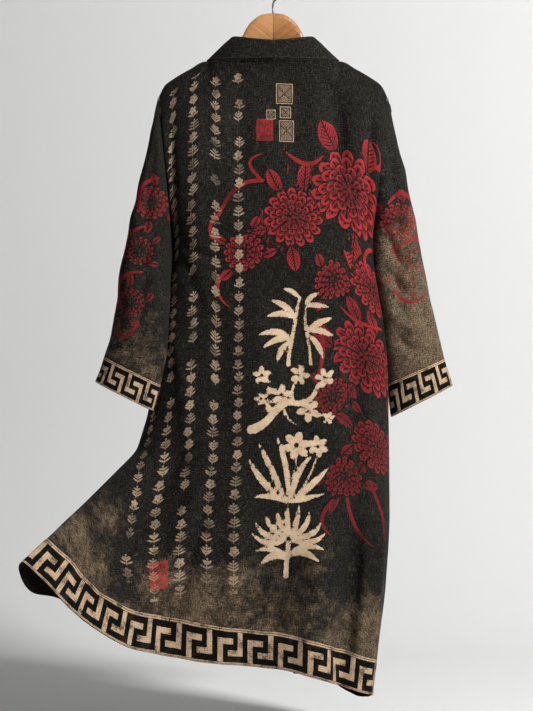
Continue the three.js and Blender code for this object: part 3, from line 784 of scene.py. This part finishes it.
def makePanel(part, gridOf, turn, face, fields, **place):
    # a panel of the body and its hem band
    body = [(backCreases, -1), (frontCreases, 1)]
    grid = gridOf(panelRows)
    buildCloth(
        part, grid, **single, turn=turn, face=face, creases=body, calm=calmSides(grid) * calmTop(grid),
        fields=fields, **place)
    grid = gridOf(bandRows)
    buildCloth(
        "hem_" + part, grid, **doubled, creases=body, calm=calmSides(grid), unit=fretSize["hem"], **place)


def makeSleeve(side, sign, table):
    arm = [(sleeveCreases, -1), (sleeveCreases, 1)]
    grid = sleeveGrid(table, sign, 0, 1, mesh["sleeveRows"])
    buildCloth(
        "sleeve_" + side, grid, **single, ring=True, turn=turnSleeve, onAxis=True, creases=arm,
        calm=calmTop(grid, creaseShape["armholeReach"]), fields=sleeveFields(side))
    grid = sleeveGrid(table, sign, 1 + sleeveEase["cuffGap"], sleeveEase["cuffEnd"], mesh["bandRows"])
    buildCloth("cuff_" + side, grid, **doubled, ring=True, creases=arm, unit=fretSize["cuff"])


makePanel("back", backGrid, turnBack, 1, backFields, centre=mesh["backColumns"] // 2, flip=True)
for sign, side, table in ((-1, "left", sleeveLeft), (1, "right", sleeveRight)):
    makePanel("front_" + side, functools.partial(frontGrid, sign), turnFront(sign), -1, hemFade)
    makeSleeve(side, sign, table)
grid = neckbandGrid()
buildCloth(
    "neckband", grid, **doubled, calm=creaseShape["neckShare"] * calmSides(grid, creaseShape["neckReach"]))


class Signal:
    # a node's output that can be reckoned with: each sum adds a Math node
    def __init__(self, tree, socket):
        self.tree, self.socket = tree, socket

    def math(self, operation, *others):
        return addNode(self.tree, "ShaderNodeMath", enumerate((self, *others)), operation=operation)

    def __rsub__(self, other):
        return self.math("MULTIPLY_ADD", -1, other)

    def __rtruediv__(self, other):
        return self ** -1 * other

    def ramp(self, low, high, start=0, end=1):
        values = enumerate((self, low, high, start, end))
        return addNode(self.tree, "ShaderNodeMapRange", values, interpolation_type="SMOOTHSTEP")


operations = {
    "add": "ADD", "radd": "ADD", "sub": "SUBTRACT", "mul": "MULTIPLY", "rmul": "MULTIPLY",
    "truediv": "DIVIDE", "pow": "POWER", "mod": "MODULO", "abs": "ABSOLUTE", "gt": "GREATER_THAN",
    "lt": "LESS_THAN",
}
for name, operation in operations.items():
    setattr(Signal, f"__{name}__", functools.partialmethod(Signal.math, operation))


def plug(tree, slot, value):
    if isinstance(value, Signal):
        tree.links.new(value.socket, slot)
    else:
        slot.default_value = value


def addNode(tree, kind, values=(), output=0, **settings):
    node = tree.nodes.new(kind)
    for name, value in settings.items():
        setattr(node, name, value)
    for name, value in dict(values).items():
        plug(tree, node.inputs[name], value)
    return Signal(tree, node.outputs[output])


def joined(tree, x, y, z=0.0):
    return addNode(tree, "ShaderNodeCombineXYZ", {"X": x, "Y": y, "Z": z})


def split(tree, vector):
    node = tree.nodes.new("ShaderNodeSeparateXYZ")
    plug(tree, node.inputs[0], vector)
    return [Signal(tree, output) for output in node.outputs]


def noise(tree, vector, scale, detail=2.0, roughness=0.5):
    values = {"Vector": vector, "Scale": scale, "Detail": detail, "Roughness": roughness}
    return addNode(tree, "ShaderNodeTexNoise", values)


def streaks(tree, vector, stretch, detail=3.0, roughness=0.5):
    # noise drawn out along the axes, by its own scale on each
    stretched = addNode(tree, "ShaderNodeVectorMath", {0: vector, 1: stretch}, operation="MULTIPLY")
    return noise(tree, stretched, 1.0, detail, roughness)


def weighted(signals, weights):
    total = signals[0] * weights[0]
    for signal, weight in zip(signals[1:], weights[1:]):
        total = total + signal * weight
    return total


def attribute(tree, name):
    return addNode(tree, "ShaderNodeAttribute", output="Fac", attribute_name=name)


def mixed(tree, share, first, second, blend="MIX"):
    first, second = (value if isinstance(value, Signal) else (*value, 1) for value in (first, second))
    values = {"Factor": share, 6: first, 7: second}
    return addNode(tree, "ShaderNodeMix", values, output=2, data_type="RGBA", blend_type=blend)


def makeGroup(name, inputs, outputs, build):
    tree = bpy.data.node_groups.new(name, "ShaderNodeTree")
    for labels, way in ((inputs, "INPUT"), (outputs, "OUTPUT")):
        for label in labels:
            kind = "NodeSocketVector" if label == "Place" else "NodeSocketFloat"
            tree.interface.new_socket(name=label, in_out=way, socket_type=kind)
    entry = tree.nodes.new("NodeGroupInput")
    given = [Signal(tree, entry.outputs[label]) for label in inputs]
    leave = tree.nodes.new("NodeGroupOutput")
    for label, value in zip(outputs, build(tree, *given)):
        plug(tree, leave.inputs[label], value)
    return tree


def useGroup(tree, group, *values):
    node = tree.nodes.new("ShaderNodeGroup")
    node.node_tree = group
    for slot, value in zip(node.inputs, values):
        plug(tree, slot, value)
    return [Signal(tree, output) for output in node.outputs]


print("effects that the cloth's materials share")


threads = {
    "driftScale": 60.0, "drift": 0.003, "roundness": 0.6, "weft": (75, 560, 0), "warp": (560, 65, 0),
    "speck": (330, 380, 0), "thick": (0.54, 0.74), "bright": (0.6, 0.72),
    "slubs": (0.5, 0.45, 0.8), "heights": (0.4, 1.3, 1.1, 0.5),
}


def buildWeave(tree, place, pitch):
    # plain weave of uneven threads, with thick slubs along both ways of the cloth
    x, y, _ = split(tree, place)
    drift = noise(tree, place, threads["driftScale"]) * threads["drift"]
    across, along = ((way + drift) / pitch * math.pi for way in (x, y))
    crossings = abs(across.math("SINE") * along.math("SINE")) ** threads["roundness"]
    weft, warp = (streaks(tree, place, threads[way], 3.0, 0.7) for way in ("weft", "warp"))
    speck = streaks(tree, place, threads["speck"], 2.0, 0.8)
    thick = [weft.ramp(*threads["thick"]), warp.ramp(*threads["thick"]), speck.ramp(*threads["bright"])]
    slub = weighted(thick, threads["slubs"]).math("MINIMUM", 1.0)
    return weighted([crossings, weft, warp, speck], threads["heights"]), slub, (weft + warp + speck) / 3


weave = makeGroup("linen weave", ("Place", "Pitch"), ("Height", "Slub", "Thread"), buildWeave)

wearing = {
    "clouds": 8.0, "mottles": 46.0, "weft": (60, 380, 0), "warp": (380, 70, 0), "fade": 0.19,
    "shares": (0.55, 0.25, 0.12, 0.08), "bare": (0.57, 0.76), "begins": 0.35,
}


def buildWear(tree, place, fade):
    # where the dye is worn off: large clouds, mottling, and grain that follows the threads
    clouds = noise(tree, place, wearing["clouds"], 4.0, 0.62)
    mottled = noise(tree, place, wearing["mottles"], 4.0, 0.7)
    weft, warp = (streaks(tree, place, wearing[way], 3.0, 0.75) for way in ("weft", "warp"))
    level = weighted([clouds, mottled, weft, warp], wearing["shares"]) + fade * wearing["fade"]
    return level.ramp(*wearing["bare"]) * fade.ramp(0.0, wearing["begins"]), mottled


wornDye = makeGroup("worn dye", ("Place", "Fade"), ("Bare", "Mottled"), buildWear)

# each row of the chart is a number whose binary digits are the row's squares
fretChart = {
    "rows": (32, 46, 34, 58, 2), "columns": 6, "shake": 0.0016, "lower": 0.6, "line": (0.12, 0.88),
    "gap": (0.44, 0.56),
}


def buildFret(tree, place, unit, height, border, worn):
    # a key pattern from its chart, between two double lines
    x, y, _ = split(tree, place)
    shake = (noise(tree, place, 260.0) - 0.5) * fretChart["shake"]
    down = (shake - y) / height
    column = (((x + shake) / unit).math("FRACT") * fretChart["columns"]).math("FLOOR")
    row = (down - border) / (1 - (1 + fretChart["lower"]) * border)
    rows, full = fretChart["rows"], 2 ** fretChart["columns"]
    chart = tree.nodes.new("ShaderNodeValToRGB")
    chart.color_ramp.interpolation = "CONSTANT"
    while len(chart.color_ramp.elements) < len(rows):
        chart.color_ramp.elements.new(0.5)
    for number, code in enumerate(rows):
        element = chart.color_ramp.elements[number]
        element.position = number / len(rows)
        element.color = (*[code / full] * 3, 1)
    plug(tree, chart.inputs[0], row.math("MAXIMUM", 0.0))
    code = Signal(tree, chart.outputs[0]) * full + 0.25
    bit = (code / (column * math.log(2)).math("EXPONENT")).math("FLOOR")
    lit = (bit % 2 > 0.5) * (row > 0) * (row < 1)
    edge = (down / border).math("MINIMUM", (1 - down) / (border * fretChart["lower"]))
    low, high = fretChart["line"]
    gapLow, gapHigh = fretChart["gap"]
    lines = (edge > low) * (edge < high) * (1 - (edge > gapLow) * (edge < gapHigh))
    return (lit.math("MAXIMUM", lines) * worn,)


fret = makeGroup("key fret", ("Place", "Unit", "Height", "Border", "Worn"), ("Ink",), buildFret)

# metres; a leaf pair is its foot over the middle, its length, and which chance turns it
sprigs = {
    "count": 5, "first": 0.068, "pitch": 0.046, "step": 0.0268, "top": -0.03, "reach": 1.03, "uneven": 0.05,
    "fan": (-0.6, -1.05, 0.14), "blossoming": 0.6, "missing": 0.08, "stem": (-0.0115, 0.0085, 0.0007),
    "leaves": ((-0.0085, 0.0125, 4), (-0.0025, 0.0115, 5), (0.003, 0.0085, 7)), "belly": 0.0052,
    "blossom": (0.003, 0.0034, 0.0045, 0.0016), "bud": (0.0098, 0.0017),
}


def buildSprigs(tree, place):
    # columns of small upright sprigs: three pairs of leaves and a bud, or a blossom
    x, y, _ = split(tree, place)
    begins, ends, share = sprigs["fan"]
    fanned = x * (1 - y.ramp(begins, ends) * share)
    counted = (fanned * -1 - sprigs["first"]) / sprigs["pitch"]
    number = counted.math("ROUND")
    inRange = (number > -0.5) * (number < sprigs["count"] - 0.5)
    columnLuck = addNode(tree, "ShaderNodeTexWhiteNoise", {"W": number}, noise_dimensions="1D")
    stepped = y / sprigs["step"] + columnLuck * 7 + (y * 9 + number).math("SINE") * 0.25
    cell = stepped.math("FLOOR")
    luck = []
    for turn in (0, 7, 13):
        seed = {"Vector": joined(tree, number, cell, turn)}
        luck += split(tree, addNode(tree, "ShaderNodeTexWhiteNoise", seed, output=1))
    up = (stepped - cell - 0.5) * sprigs["step"] + (luck[0] - 0.5) * 0.002
    sway = (up * 190 + luck[3] * 6).math("SINE") * 0.0006
    aside = (counted - number) * sprigs["pitch"] + (luck[2] - 0.5) * 0.004 - sway
    rough = (noise(tree, place, 650.0, 1.0) - 0.5) * 0.0012
    foot, head, half = sprigs["stem"]
    ink = (abs(aside) < (rough + half)) * (up < head) * (up > foot)
    blossoming = luck[6] > sprigs["blossoming"]
    for side in (1, -1):
        for base, length, which in sprigs["leaves"]:
            turn = luck[which] * 0.5 + 0.35
            cosine, sine = turn.math("COSINE"), turn.math("SINE")
            out, rise = aside * side, up - base
            along = (out * cosine + rise * sine) / length
            belly = (along * (1 - along)).math("MAXIMUM", 0.0) ** 0.8 * sprigs["belly"]
            leaves = abs(rise * cosine - out * sine) < (belly + rough * 0.5)
            if base > sprigs["leaves"][0][0]:
                leaves = leaves * (1 - blossoming)
            ink = ink.math("MAXIMUM", leaves)
    middle, least, grown, heart = sprigs["blossom"]
    rise = up - middle
    away = (aside * aside + rise * rise) ** 0.5
    petals = abs((rise.math("ARCTAN2", aside) * 2.5 + luck[0] * 3).math("SINE")) ** 0.5
    blossom = (away < (petals * grown + least)) * (away > heart)
    height, radius = sprigs["bud"]
    bud = (aside * aside + (up - height) ** 2) ** 0.5 < radius
    ink = ink.math("MAXIMUM", blossom * blossoming).math("MAXIMUM", bud * (1 - blossoming))
    reach = (y < sprigs["top"]) * (y > (columnLuck * -sprigs["uneven"] - sprigs["reach"]))
    return (ink * inRange * reach * (luck[8] > sprigs["missing"]),)


sprigPrint = makeGroup("columns of sprigs", ("Place",), ("Ink",), buildSprigs)


stamp = {
    "frame": 0.0016, "inset": 0.0034, "rings": 520, "cross": 0.0009, "bars": 240, "bar": 0.22, "cut": 0.8,
}


def buildPanel(tree, place, x, y, halfWidth, halfHeight, filled):
    # a small framed lattice, as on a textile stamp: outlined, or solid with the lattice left out
    across, up, _ = split(tree, place)
    across, up = abs(across - x), abs(up - y)
    inset = (halfWidth - across).math("MINIMUM", halfHeight - up)
    frame = (inset > 0) * (inset < stamp["frame"])
    ring = (inset * stamp["rings"]).math("FRACT") > 0.5
    bars = ((across + up) * stamp["bars"]).math("FRACT") > stamp["bar"]
    bars = bars * (abs(across - up) > stamp["cross"])
    lattice = (inset > stamp["inset"]) * ring * bars
    line = frame.math("MAXIMUM", lattice)
    solid = (inset > 0) * (1 - lattice * stamp["cut"])
    return (line + (solid - line) * filled,)


panel = makeGroup(
    "lattice panel", ("Place", "X", "Y", "Half width", "Half height", "Filled"), ("Ink",), buildPanel)

# rows of petals: how far out they reach, how many, and where the first is
cutBloom = {
    "rows": ((0.98, 15, 0.0), (0.8, 13, 0.8), (0.6, 11, 0.3), (0.41, 8, 1.1), (0.22, 5, 0.5)),
    "line": 2.2, "rough": 2.4, "lobe": 0.3, "blunt": 0.55, "streaked": 0.13, "heart": 0.06,
    "leafWidth": 0.72, "leafTip": 0.75, "veins": 8, "vein": 0.34, "slant": 1.1, "apart": 1.6,
}


def buildBloom(tree, x, y, kind, radius, edge, roughly):
    # line-cut blooms of several rows of petals, and veined leaves, in their own unit radius
    away = (x * x + y * y) ** 0.5
    angle = y.math("ARCTAN2", x)
    line = cutBloom["line"] / radius
    ink = shade = away * 0
    rough = (roughly - 0.5) * cutBloom["rough"] / radius
    for reach, petals, phase in cutBloom["rows"]:
        wave = abs((angle * (petals / 2) + phase).math("COSINE"))
        rim = (wave ** cutBloom["blunt"] * cutBloom["lobe"] + (1 - cutBloom["lobe"])) * reach
        inside = rim - away + rough
        parting = wave * away * (2 / petals) + rough * 0.6
        streak = (angle * (petals * 3) + phase * 7).math("SINE") > 0
        streak = streak * (inside > reach * cutBloom["streaked"])
        petal = (inside > line) * (parting > line) * (1 - streak * (parting > line * 1.8))
        within = inside > 0
        ink = ink + (petal - ink) * within
        shade = shade + (inside.ramp(0.22 * reach, 0.04 * reach, 0.25, 1.0) - shade) * within
    bloom = ink.math("MAXIMUM", away < cutBloom["heart"])
    halfWidth = (x * (1 - x)).math("MAXIMUM", 0.0) ** cutBloom["leafTip"] * cutBloom["leafWidth"]
    aside = abs(y)
    inside = halfWidth - aside + rough * 0.4
    vein = ((x - aside * cutBloom["slant"]) * cutBloom["veins"]).math("FRACT") > cutBloom["vein"]
    blade = (inside > 0) * (aside > line * 0.6) * vein.math("MAXIMUM", inside < line * 1.6)
    isLeaf = kind > 1.5
    ink = bloom + (blade - bloom) * isLeaf
    shade = shade + (x.ramp(0.0, 0.8, 0.35, 0.85) - shade) * isLeaf
    return ink * (edge > cutBloom["apart"]) * (kind > 0.5), shade


bloomPrint = makeGroup(
    "line-cut blooms", ("X", "Y", "Kind", "Radius", "Edge", "Rough"), ("Ink", "Shade"), buildBloom)

# metres, and a fret's border as a share of its band
linen = {
    "dark": (0.0035, 0.0033, 0.0026), "thread": (0.024, 0.0225, 0.0185), "slub": (0.19, 0.174, 0.14),
    "bare": (0.27, 0.19, 0.118), "olive": (0.05, 0.0365, 0.0225), "tan": (0.58, 0.405, 0.265),
    "thinTan": (0.4, 0.29, 0.19), "cream": (0.72, 0.54, 0.365), "red": (0.46, 0.034, 0.038),
    "deepRed": (0.12, 0.01, 0.012), "pitch": 0.0018, "bump": 0.0007, "bumpStrength": 0.9, "sheen": 0.02,
    "gloss": 0.05, "hemBorder": 0.13, "cuffBorder": 0.12,
}
panels = [  # x, y, half width, half height, filled and red
    (0.0225, -0.074, 0.0165, 0.0205, 0), (0.0265, -0.150, 0.0145, 0.0215, 0),
    (-0.0165, -0.148, 0.0165, 0.022, 1), (0.0245, -0.112, 0.011, 0.012, 0),
    (-0.004, -0.117, 0.009, 0.010, 0), (-0.228, -1.020, 0.019, 0.027, 1),
]


def newMaterial(name):
    material = bpy.data.materials.new(name)
    material.use_nodes = True
    return material, material.node_tree, material.node_tree.nodes["Principled BSDF"]


def finish(tree, shader, color, roughness, height, distance, strength=1.0):
    bump = addNode(tree, "ShaderNodeBump", {"Height": height, "Distance": distance, "Strength": strength})
    for socket, value in (("Base Color", color), ("Roughness", roughness), ("Normal", bump)):
        plug(tree, shader.inputs[socket], value)


def startLinen(name):
    material, tree, shader = newMaterial(name)
    shader.inputs["Sheen Weight"].default_value = linen["sheen"]
    shader.inputs["Specular IOR Level"].default_value = linen["gloss"]
    place = addNode(tree, "ShaderNodeUVMap", uv_map="cloth")
    return material, tree, shader, place, *useGroup(tree, weave, place, linen["pitch"])


def finishLinen(tree, shader, color, height, thread):
    finish(tree, shader, color, thread * 0.1 + 0.78, height, linen["bump"], linen["bumpStrength"])


def printedLinen(name, prints):
    # dark slubby linen, worn where its fade says so, with the prints named
    material, tree, shader, place, height, slub, thread = startLinen(name)
    outer, fade = attribute(tree, "outer"), attribute(tree, "fade")
    bare, mottled = useGroup(tree, wornDye, place, fade)
    cloudy = noise(tree, place, 3.2, 3.0).ramp(0.3, 0.7, 0.5, 1.0)
    dark = mixed(tree, thread.ramp(0.42, 0.58) * cloudy, linen["dark"], linen["thread"])
    color = mixed(tree, slub * 0.4, dark, linen["slub"])
    worn = mixed(tree, thread.ramp(0.44, 0.6), linen["olive"], linen["bare"])
    color = mixed(tree, bare * mottled.ramp(0.3, 0.6, 0.6, 1.0), color, worn)
    grain = (thread + noise(tree, place, 700.0, 1.0) * 0.3).ramp(0.56, 0.68)
    printed = outer * (grain * 0.5 + 0.5)
    rough = noise(tree, place, 420.0, 3.0, 0.6)
    if "blooms" in prints:
        *where, tone = (attribute(tree, name) for name in motif["fields"])
        ink, shade = useGroup(tree, bloomPrint, *where, attribute(tree, "motifEdge"), rough)
        tendril = (attribute(tree, "redInk") + (rough - 0.5) * 2) > 0
        shade = shade + (0.7 - shade) * tendril * (1 - ink)
        shade = tone.ramp(0.2, 1.0, 0.1, 1.0) * shade * (mottled + 0.5)
        red = mixed(tree, shade, linen["deepRed"], linen["red"])
        color = mixed(tree, ink.math("MAXIMUM", tendril) * printed * 0.95, color, red)
    if "sprigs" in prints:
        ink = useGroup(tree, sprigPrint, place)[0]
        strength = noise(tree, place, 26.0).ramp(0.3, 0.6, 0.3, 1.0)
        color = mixed(tree, ink * printed * strength, color, linen["thinTan"])
    if "panels" in prints:
        for *shape, filled in panels:
            ink = useGroup(tree, panel, place, *shape, filled)[0]
            strength = mottled.ramp(0.3, 0.6, 0.35, 0.75) if filled else 0.85
            color = mixed(tree, ink * printed * strength, color, linen["red" if filled else "tan"])
    if "brushed" in prints:
        ragged = noise(tree, place, 160.0, 4.0, 0.7)
        inside = attribute(tree, "tanInk") + (rough + ragged - 1) * 4
        dry = (noise(tree, place, 90.0, 5.0, 0.75) + inside * 0.035).ramp(0.41, 0.5)
        paint = mixed(tree, mottled.ramp(0.35, 0.65), linen["cream"], linen["tan"])
        color = mixed(tree, (inside > 0) * dry * outer * (grain * 0.2 + 0.8), color, paint)
    finishLinen(tree, shader, color, height, thread)
    return material


def bandLinen(name, repeat, border):
    material, tree, shader, place, height, slub, thread = startLinen(name)
    mottled = noise(tree, place, 38.0, 4.0, 0.65)
    worn = (mottled + thread * 0.7).ramp(0.66, 0.86, 0.25, 1.0)
    ink = useGroup(tree, fret, place, *(length / 1000 for length in repeat), border, worn)[0]
    dark = mixed(tree, slub * 0.25 + mottled.ramp(0.5, 0.75) * 0.5, linen["dark"], linen["olive"])
    light = mixed(tree, (thread + mottled * 0.3).ramp(0.54, 0.74), linen["bare"], linen["tan"])
    finishLinen(tree, shader, mixed(tree, ink * attribute(tree, "outer"), dark, light), height, thread)
    return material


plainLinen = printedLinen("plain dark linen", ())
materials = {
    "back": printedLinen("printed linen", ("blooms", "sprigs", "panels", "brushed")),
    "sleeve": printedLinen("sleeve linen", ("blooms",)),
    "hem": bandLinen("hem key band", fretSize["hem"], linen["hemBorder"]),
    "cuff": bandLinen("cuff key band", fretSize["cuff"], linen["cuffBorder"]),
}


def startHard(name):
    material, tree, shader = newMaterial(name)
    return material, tree, shader, addNode(tree, "ShaderNodeTexCoord", output="Object")


yarn = {"dark": (0.03, 0.027, 0.022), "light": (0.1, 0.09, 0.072), "fibre": 2600.0, "bump": 0.0002}
# the two half tints paint the right half of the hanger darker: painted shade, not a different wood
wood = {
    "slope": 0.8, "wave": 0.012, "dark": (0.27, 0.095, 0.024), "light": (0.6, 0.29, 0.11),
    "joint": (0.05, 0.02, 0.008), "jointHalf": (0.0002, 0.0009), "litHalfTint": (1, 1, 1),
    "shadedHalfTint": (0.72, 0.64, 0.56), "coat": 0.15, "bump": 0.0003,
}
wire = {"dark": (0.1, 0.097, 0.092), "light": (0.24, 0.235, 0.225), "bump": 0.0001, "bumpStrength": 0.5}

threadMaterial, tree, shader, local = startHard("sewing thread")
fibres = noise(tree, local, yarn["fibre"], 2.0, 0.7)
color = mixed(tree, fibres.ramp(0.35, 0.65), yarn["dark"], yarn["light"])
finish(tree, shader, color, fibres * 0.3 + 0.5, fibres, yarn["bump"])

# two boards meet in the middle, and the grain of each follows its arm; the right board's colour is painted
# darker, as painted shade of its facet
varnished, tree, shader, local = startHard("varnished wood")
x, y, z = split(tree, local)
slope = z - abs(x) * wood["slope"]
wavy = streaks(tree, joined(tree, x, y, slope), (9, 30, 40)) * wood["wave"]
rings = streaks(tree, joined(tree, x, y, slope + wavy), (3, 60, 420), 4.0, 0.65)
pores = streaks(tree, joined(tree, x, y, slope), (30, 500, 1500), 2.0, 0.7)
grain = mixed(tree, (rings + pores * 0.3).ramp(0.3, 0.8), wood["dark"], wood["light"])
# painted shade: the right half's grain is multiplied darker to stand for the shade on its facet
grainPaintedShade = mixed(tree, 1, grain, mixed(tree, x > 0, wood["litHalfTint"], wood["shadedHalfTint"]), "MULTIPLY")
joint = 1 - abs(x).ramp(*wood["jointHalf"])
rubbed = noise(tree, local, 60.0, 3.0)
finish(
    tree, shader, mixed(tree, joint * 0.8, grainPaintedShade, wood["joint"]), rubbed.ramp(0.3, 0.7, 0.32, 0.5),
    rings + pores - joint, wood["bump"])
shader.inputs["Coat Weight"].default_value = wood["coat"]
plug(tree, shader.inputs["Coat Roughness"], rubbed.ramp(0.3, 0.7, 0.12, 0.3))

steel, tree, shader, local = startHard("steel wire")
scratches = noise(tree, local, 900.0, 3.0, 0.7)
dull = noise(tree, local, 90.0, 3.0, 0.6)
finish(
    tree, shader, mixed(tree, dull.ramp(0.35, 0.65), wire["dark"], wire["light"]),
    dull.ramp(0.3, 0.7, 0.28, 0.5), scratches, wire["bump"], wire["bumpStrength"])
shader.inputs["Metallic"].default_value = 1

for node, material in (("hanger_wood", varnished), ("hanger_hook", steel)):
    data = frame["nodes"][node].data
    data.materials.clear()
    data.materials.append(material)

print("seam stitches")

# millimetres along the seam, then metres for the thread's own size
stitching = {
    "spacing": 4.2, "lift": 0.1, "Half length": 0.00125, "Half thickness": 0.00032, "Seed": 5,
    "uneven": (0.8, 1.15),
}


def stitchTree():
    # one short thread on each point of a mesh, lying along its direction
    tree = bpy.data.node_groups.new("seam stitches", "GeometryNodeTree")
    sockets = {"Geometry": "Geometry", "Half length": "Float", "Half thickness": "Float", "Seed": "Int"}
    for label, kind in sockets.items():
        tree.interface.new_socket(name=label, in_out="INPUT", socket_type="NodeSocket" + kind)
    tree.interface.new_socket(name="Geometry", in_out="OUTPUT", socket_type="NodeSocketGeometry")
    entry = tree.nodes.new("NodeGroupInput")
    given, length, thickness, seed = (Signal(tree, entry.outputs[label]) for label in sockets)
    ball = addNode(tree, "GeometryNodeMeshUVSphere", {"Segments": 6, "Rings": 4, "Radius": 1.0})
    shape = addNode(tree, "GeometryNodeTransform", {
        "Geometry": ball, "Scale": joined(tree, thickness, thickness, length)})
    along = addNode(
        tree, "GeometryNodeInputNamedAttribute", {"Name": "along"}, output="Attribute",
        data_type="FLOAT_VECTOR")
    turn = addNode(tree, "FunctionNodeAlignRotationToVector", {"Vector": along})
    uneven = tree.nodes.new("FunctionNodeRandomValue")
    uneven.data_type = "FLOAT"
    bounds = [slot for slot in uneven.inputs if slot.type == "VALUE"]
    for slot, value in zip(bounds, stitching["uneven"]):
        slot.default_value = value
    plug(tree, uneven.inputs["Seed"], seed)
    scale = next(output for output in uneven.outputs if output.type == "VALUE")
    placed = addNode(tree, "GeometryNodeInstanceOnPoints", {
        "Points": given, "Instance": shape, "Rotation": turn, "Scale": Signal(tree, scale)})
    real = addNode(tree, "GeometryNodeRealizeInstances", {"Geometry": placed})
    done = addNode(tree, "GeometryNodeSetMaterial", {"Geometry": real, "Material": threadMaterial})
    plug(tree, tree.nodes.new("NodeGroupOutput").inputs["Geometry"], done)
    return tree


stitches = stitchTree()


def gridLine(node, index, down=False):
    # a line of the cloth's outside, and the direction it faces
    rows, columns = shapes[node]
    data = cloth[node].data
    flat = np.empty(len(data.vertices) * 3, np.float32)
    data.vertices.foreach_get("co", flat)
    grid = 1000.0 * flat.reshape(-1, 3)[:rows * columns].reshape(rows, columns, 3)
    normal = gridNormals(grid, node.startswith(("cuff", "sleeve")))
    return (grid[:, index], normal[:, index]) if down else (grid[index], normal[index])


def sew(name, lines):
    places, directions = [], []
    for line, normal in lines:
        length = reached(line, 0)
        at = np.arange(stitching["spacing"], length[-1] - stitching["spacing"] / 2, stitching["spacing"])

        def along(of, shift=0):
            return np.stack([np.interp(at + shift, length, of[:, axis]) for axis in range(3)], 1)

        places.append(along(line + normal * stitching["lift"]) / 1000)
        directions.append(along(line, 1) - along(line, -1))
    data = bpy.data.meshes.new(name)
    data.from_pydata(np.concatenate(places).tolist(), [], [])
    field = data.attributes.new("along", "FLOAT_VECTOR", "POINT")
    field.data.foreach_set("vector", np.concatenate(directions).astype(np.float32).reshape(-1))
    base = newObject(name + "_points", data)
    modifier = base.modifiers.new("stitches", "NODES")
    modifier.node_group = stitches
    for item in stitches.interface.items_tree:
        if item.in_out == "INPUT" and item.name in stitching:
            modifier[item.identifier] = stitching[item.name]
    bpy.context.view_layer.update()
    made = bpy.data.meshes.new_from_object(base.evaluated_get(bpy.context.evaluated_depsgraph_get()))
    made.name = name
    bpy.data.objects.remove(base)
    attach(newObject(name, made), "root")
    print(name, len(made.polygons), "faces")


sew("neckband_stitches", [gridLine("neckband", 1, down=True), gridLine("neckband", -2, down=True)])
sew("hem_stitches", [
    gridLine(node, row) for node in ("hem_back", "hem_front_left", "hem_front_right") for row in (1, -2)])
sew("cuff_stitches", [gridLine(node, row) for node in ("cuff_left", "cuff_right") for row in (1, -2)])

for node, piece in cloth.items():
    kind = node.split("_")[0]
    piece.data.materials.append(materials.get(kind, plainLinen))
    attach(piece, "root")
    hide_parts(node)
    "band" if kind in ("hem", "cuff") else "cloth"

print("floor, backdrop, lights and camera")

room = {
    "floorHeight": -1.5, "halfWidth": 4.0, "front": -6.0, "wall": 1.7, "sweep": 0.7, "height": 3.0,
    "steps": 16, "color": (0.78, 0.78, 0.77), "roughness": 0.9,
}
view = {"place": (-0.013, -4.0, -0.753), "lens": 101.27, "sensor": 36}
daylight = {"color": (0.9, 0.92, 0.95), "strength": 0.065}
# place, target, size and power
lamps = {
    "key from the right": ((2.5, -2.3, 1.6), (0, 0, -0.7), 0.75, 222),
    "fill from the left": ((-3.0, -3.5, 0.2), (0, 0, -0.8), 2.5, 3.5),
    "backdrop from the right": ((2.6, 0.4, 0.0), (0.8, 1.5, -1.3), 1.5, 6),
}


def makeRoom():
    # a floor that sweeps up into the wall behind
    profile = [(room["front"], room["floorHeight"])]
    for step in range(room["steps"] + 1):
        turn = math.pi / 2 * step / room["steps"]
        profile.append((
            room["wall"] - room["sweep"] + room["sweep"] * math.sin(turn),
            room["floorHeight"] + room["sweep"] * (1 - math.cos(turn))))
    profile.append((room["wall"], room["height"]))
    vertices = [(x, y, z) for y, z in profile for x in (-room["halfWidth"], room["halfWidth"])]
    faces = [(2 * i, 2 * i + 1, 2 * i + 3, 2 * i + 2) for i in range(len(profile) - 1)]
    data = bpy.data.meshes.new("room")
    data.from_pydata(vertices, [], faces)
    data.polygons.foreach_set("use_smooth", [True] * len(faces))
    # from behind it isn't seen, so that the front of the robe can be looked at too
    material, tree, shader = newMaterial("backdrop paper")
    shader.inputs["Base Color"].default_value = (*room["color"], 1)
    shader.inputs["Roughness"].default_value = room["roughness"]
    paper = addNode(tree, "ShaderNodeMixShader", {
        0: addNode(tree, "ShaderNodeNewGeometry", output="Backfacing"),
        1: Signal(tree, shader.outputs[0]), 2: addNode(tree, "ShaderNodeBsdfTransparent")})
    plug(tree, tree.nodes["Material Output"].inputs["Surface"], paper)
    data.materials.append(material)
    newObject("backdrop", data)


makeRoom()
for name, (place, target, size, power) in lamps.items():
    data = bpy.data.lights.new(name, "AREA")
    data.size = size
    data.energy = power
    lamp = newObject(name, data)
    lamp.location = place
    lamp.rotation_euler = (Vector(target) - Vector(place)).to_track_quat("-Z", "Y").to_euler()

world = bpy.data.worlds.new("studio")
world.use_nodes = True
background = world.node_tree.nodes["Background"]
background.inputs["Color"].default_value = (*daylight["color"], 1)
background.inputs["Strength"].default_value = daylight["strength"]
bpy.context.scene.world = world
bpy.context.scene.view_settings.view_transform = "Standard"

data = bpy.data.cameras.new("camera")
data.lens = view["lens"]
data.sensor_width = view["sensor"]
camera = newObject("camera", data)
camera.location = view["place"]
camera.rotation_euler = (math.pi / 2, 0, 0)
bpy.context.scene.camera = camera
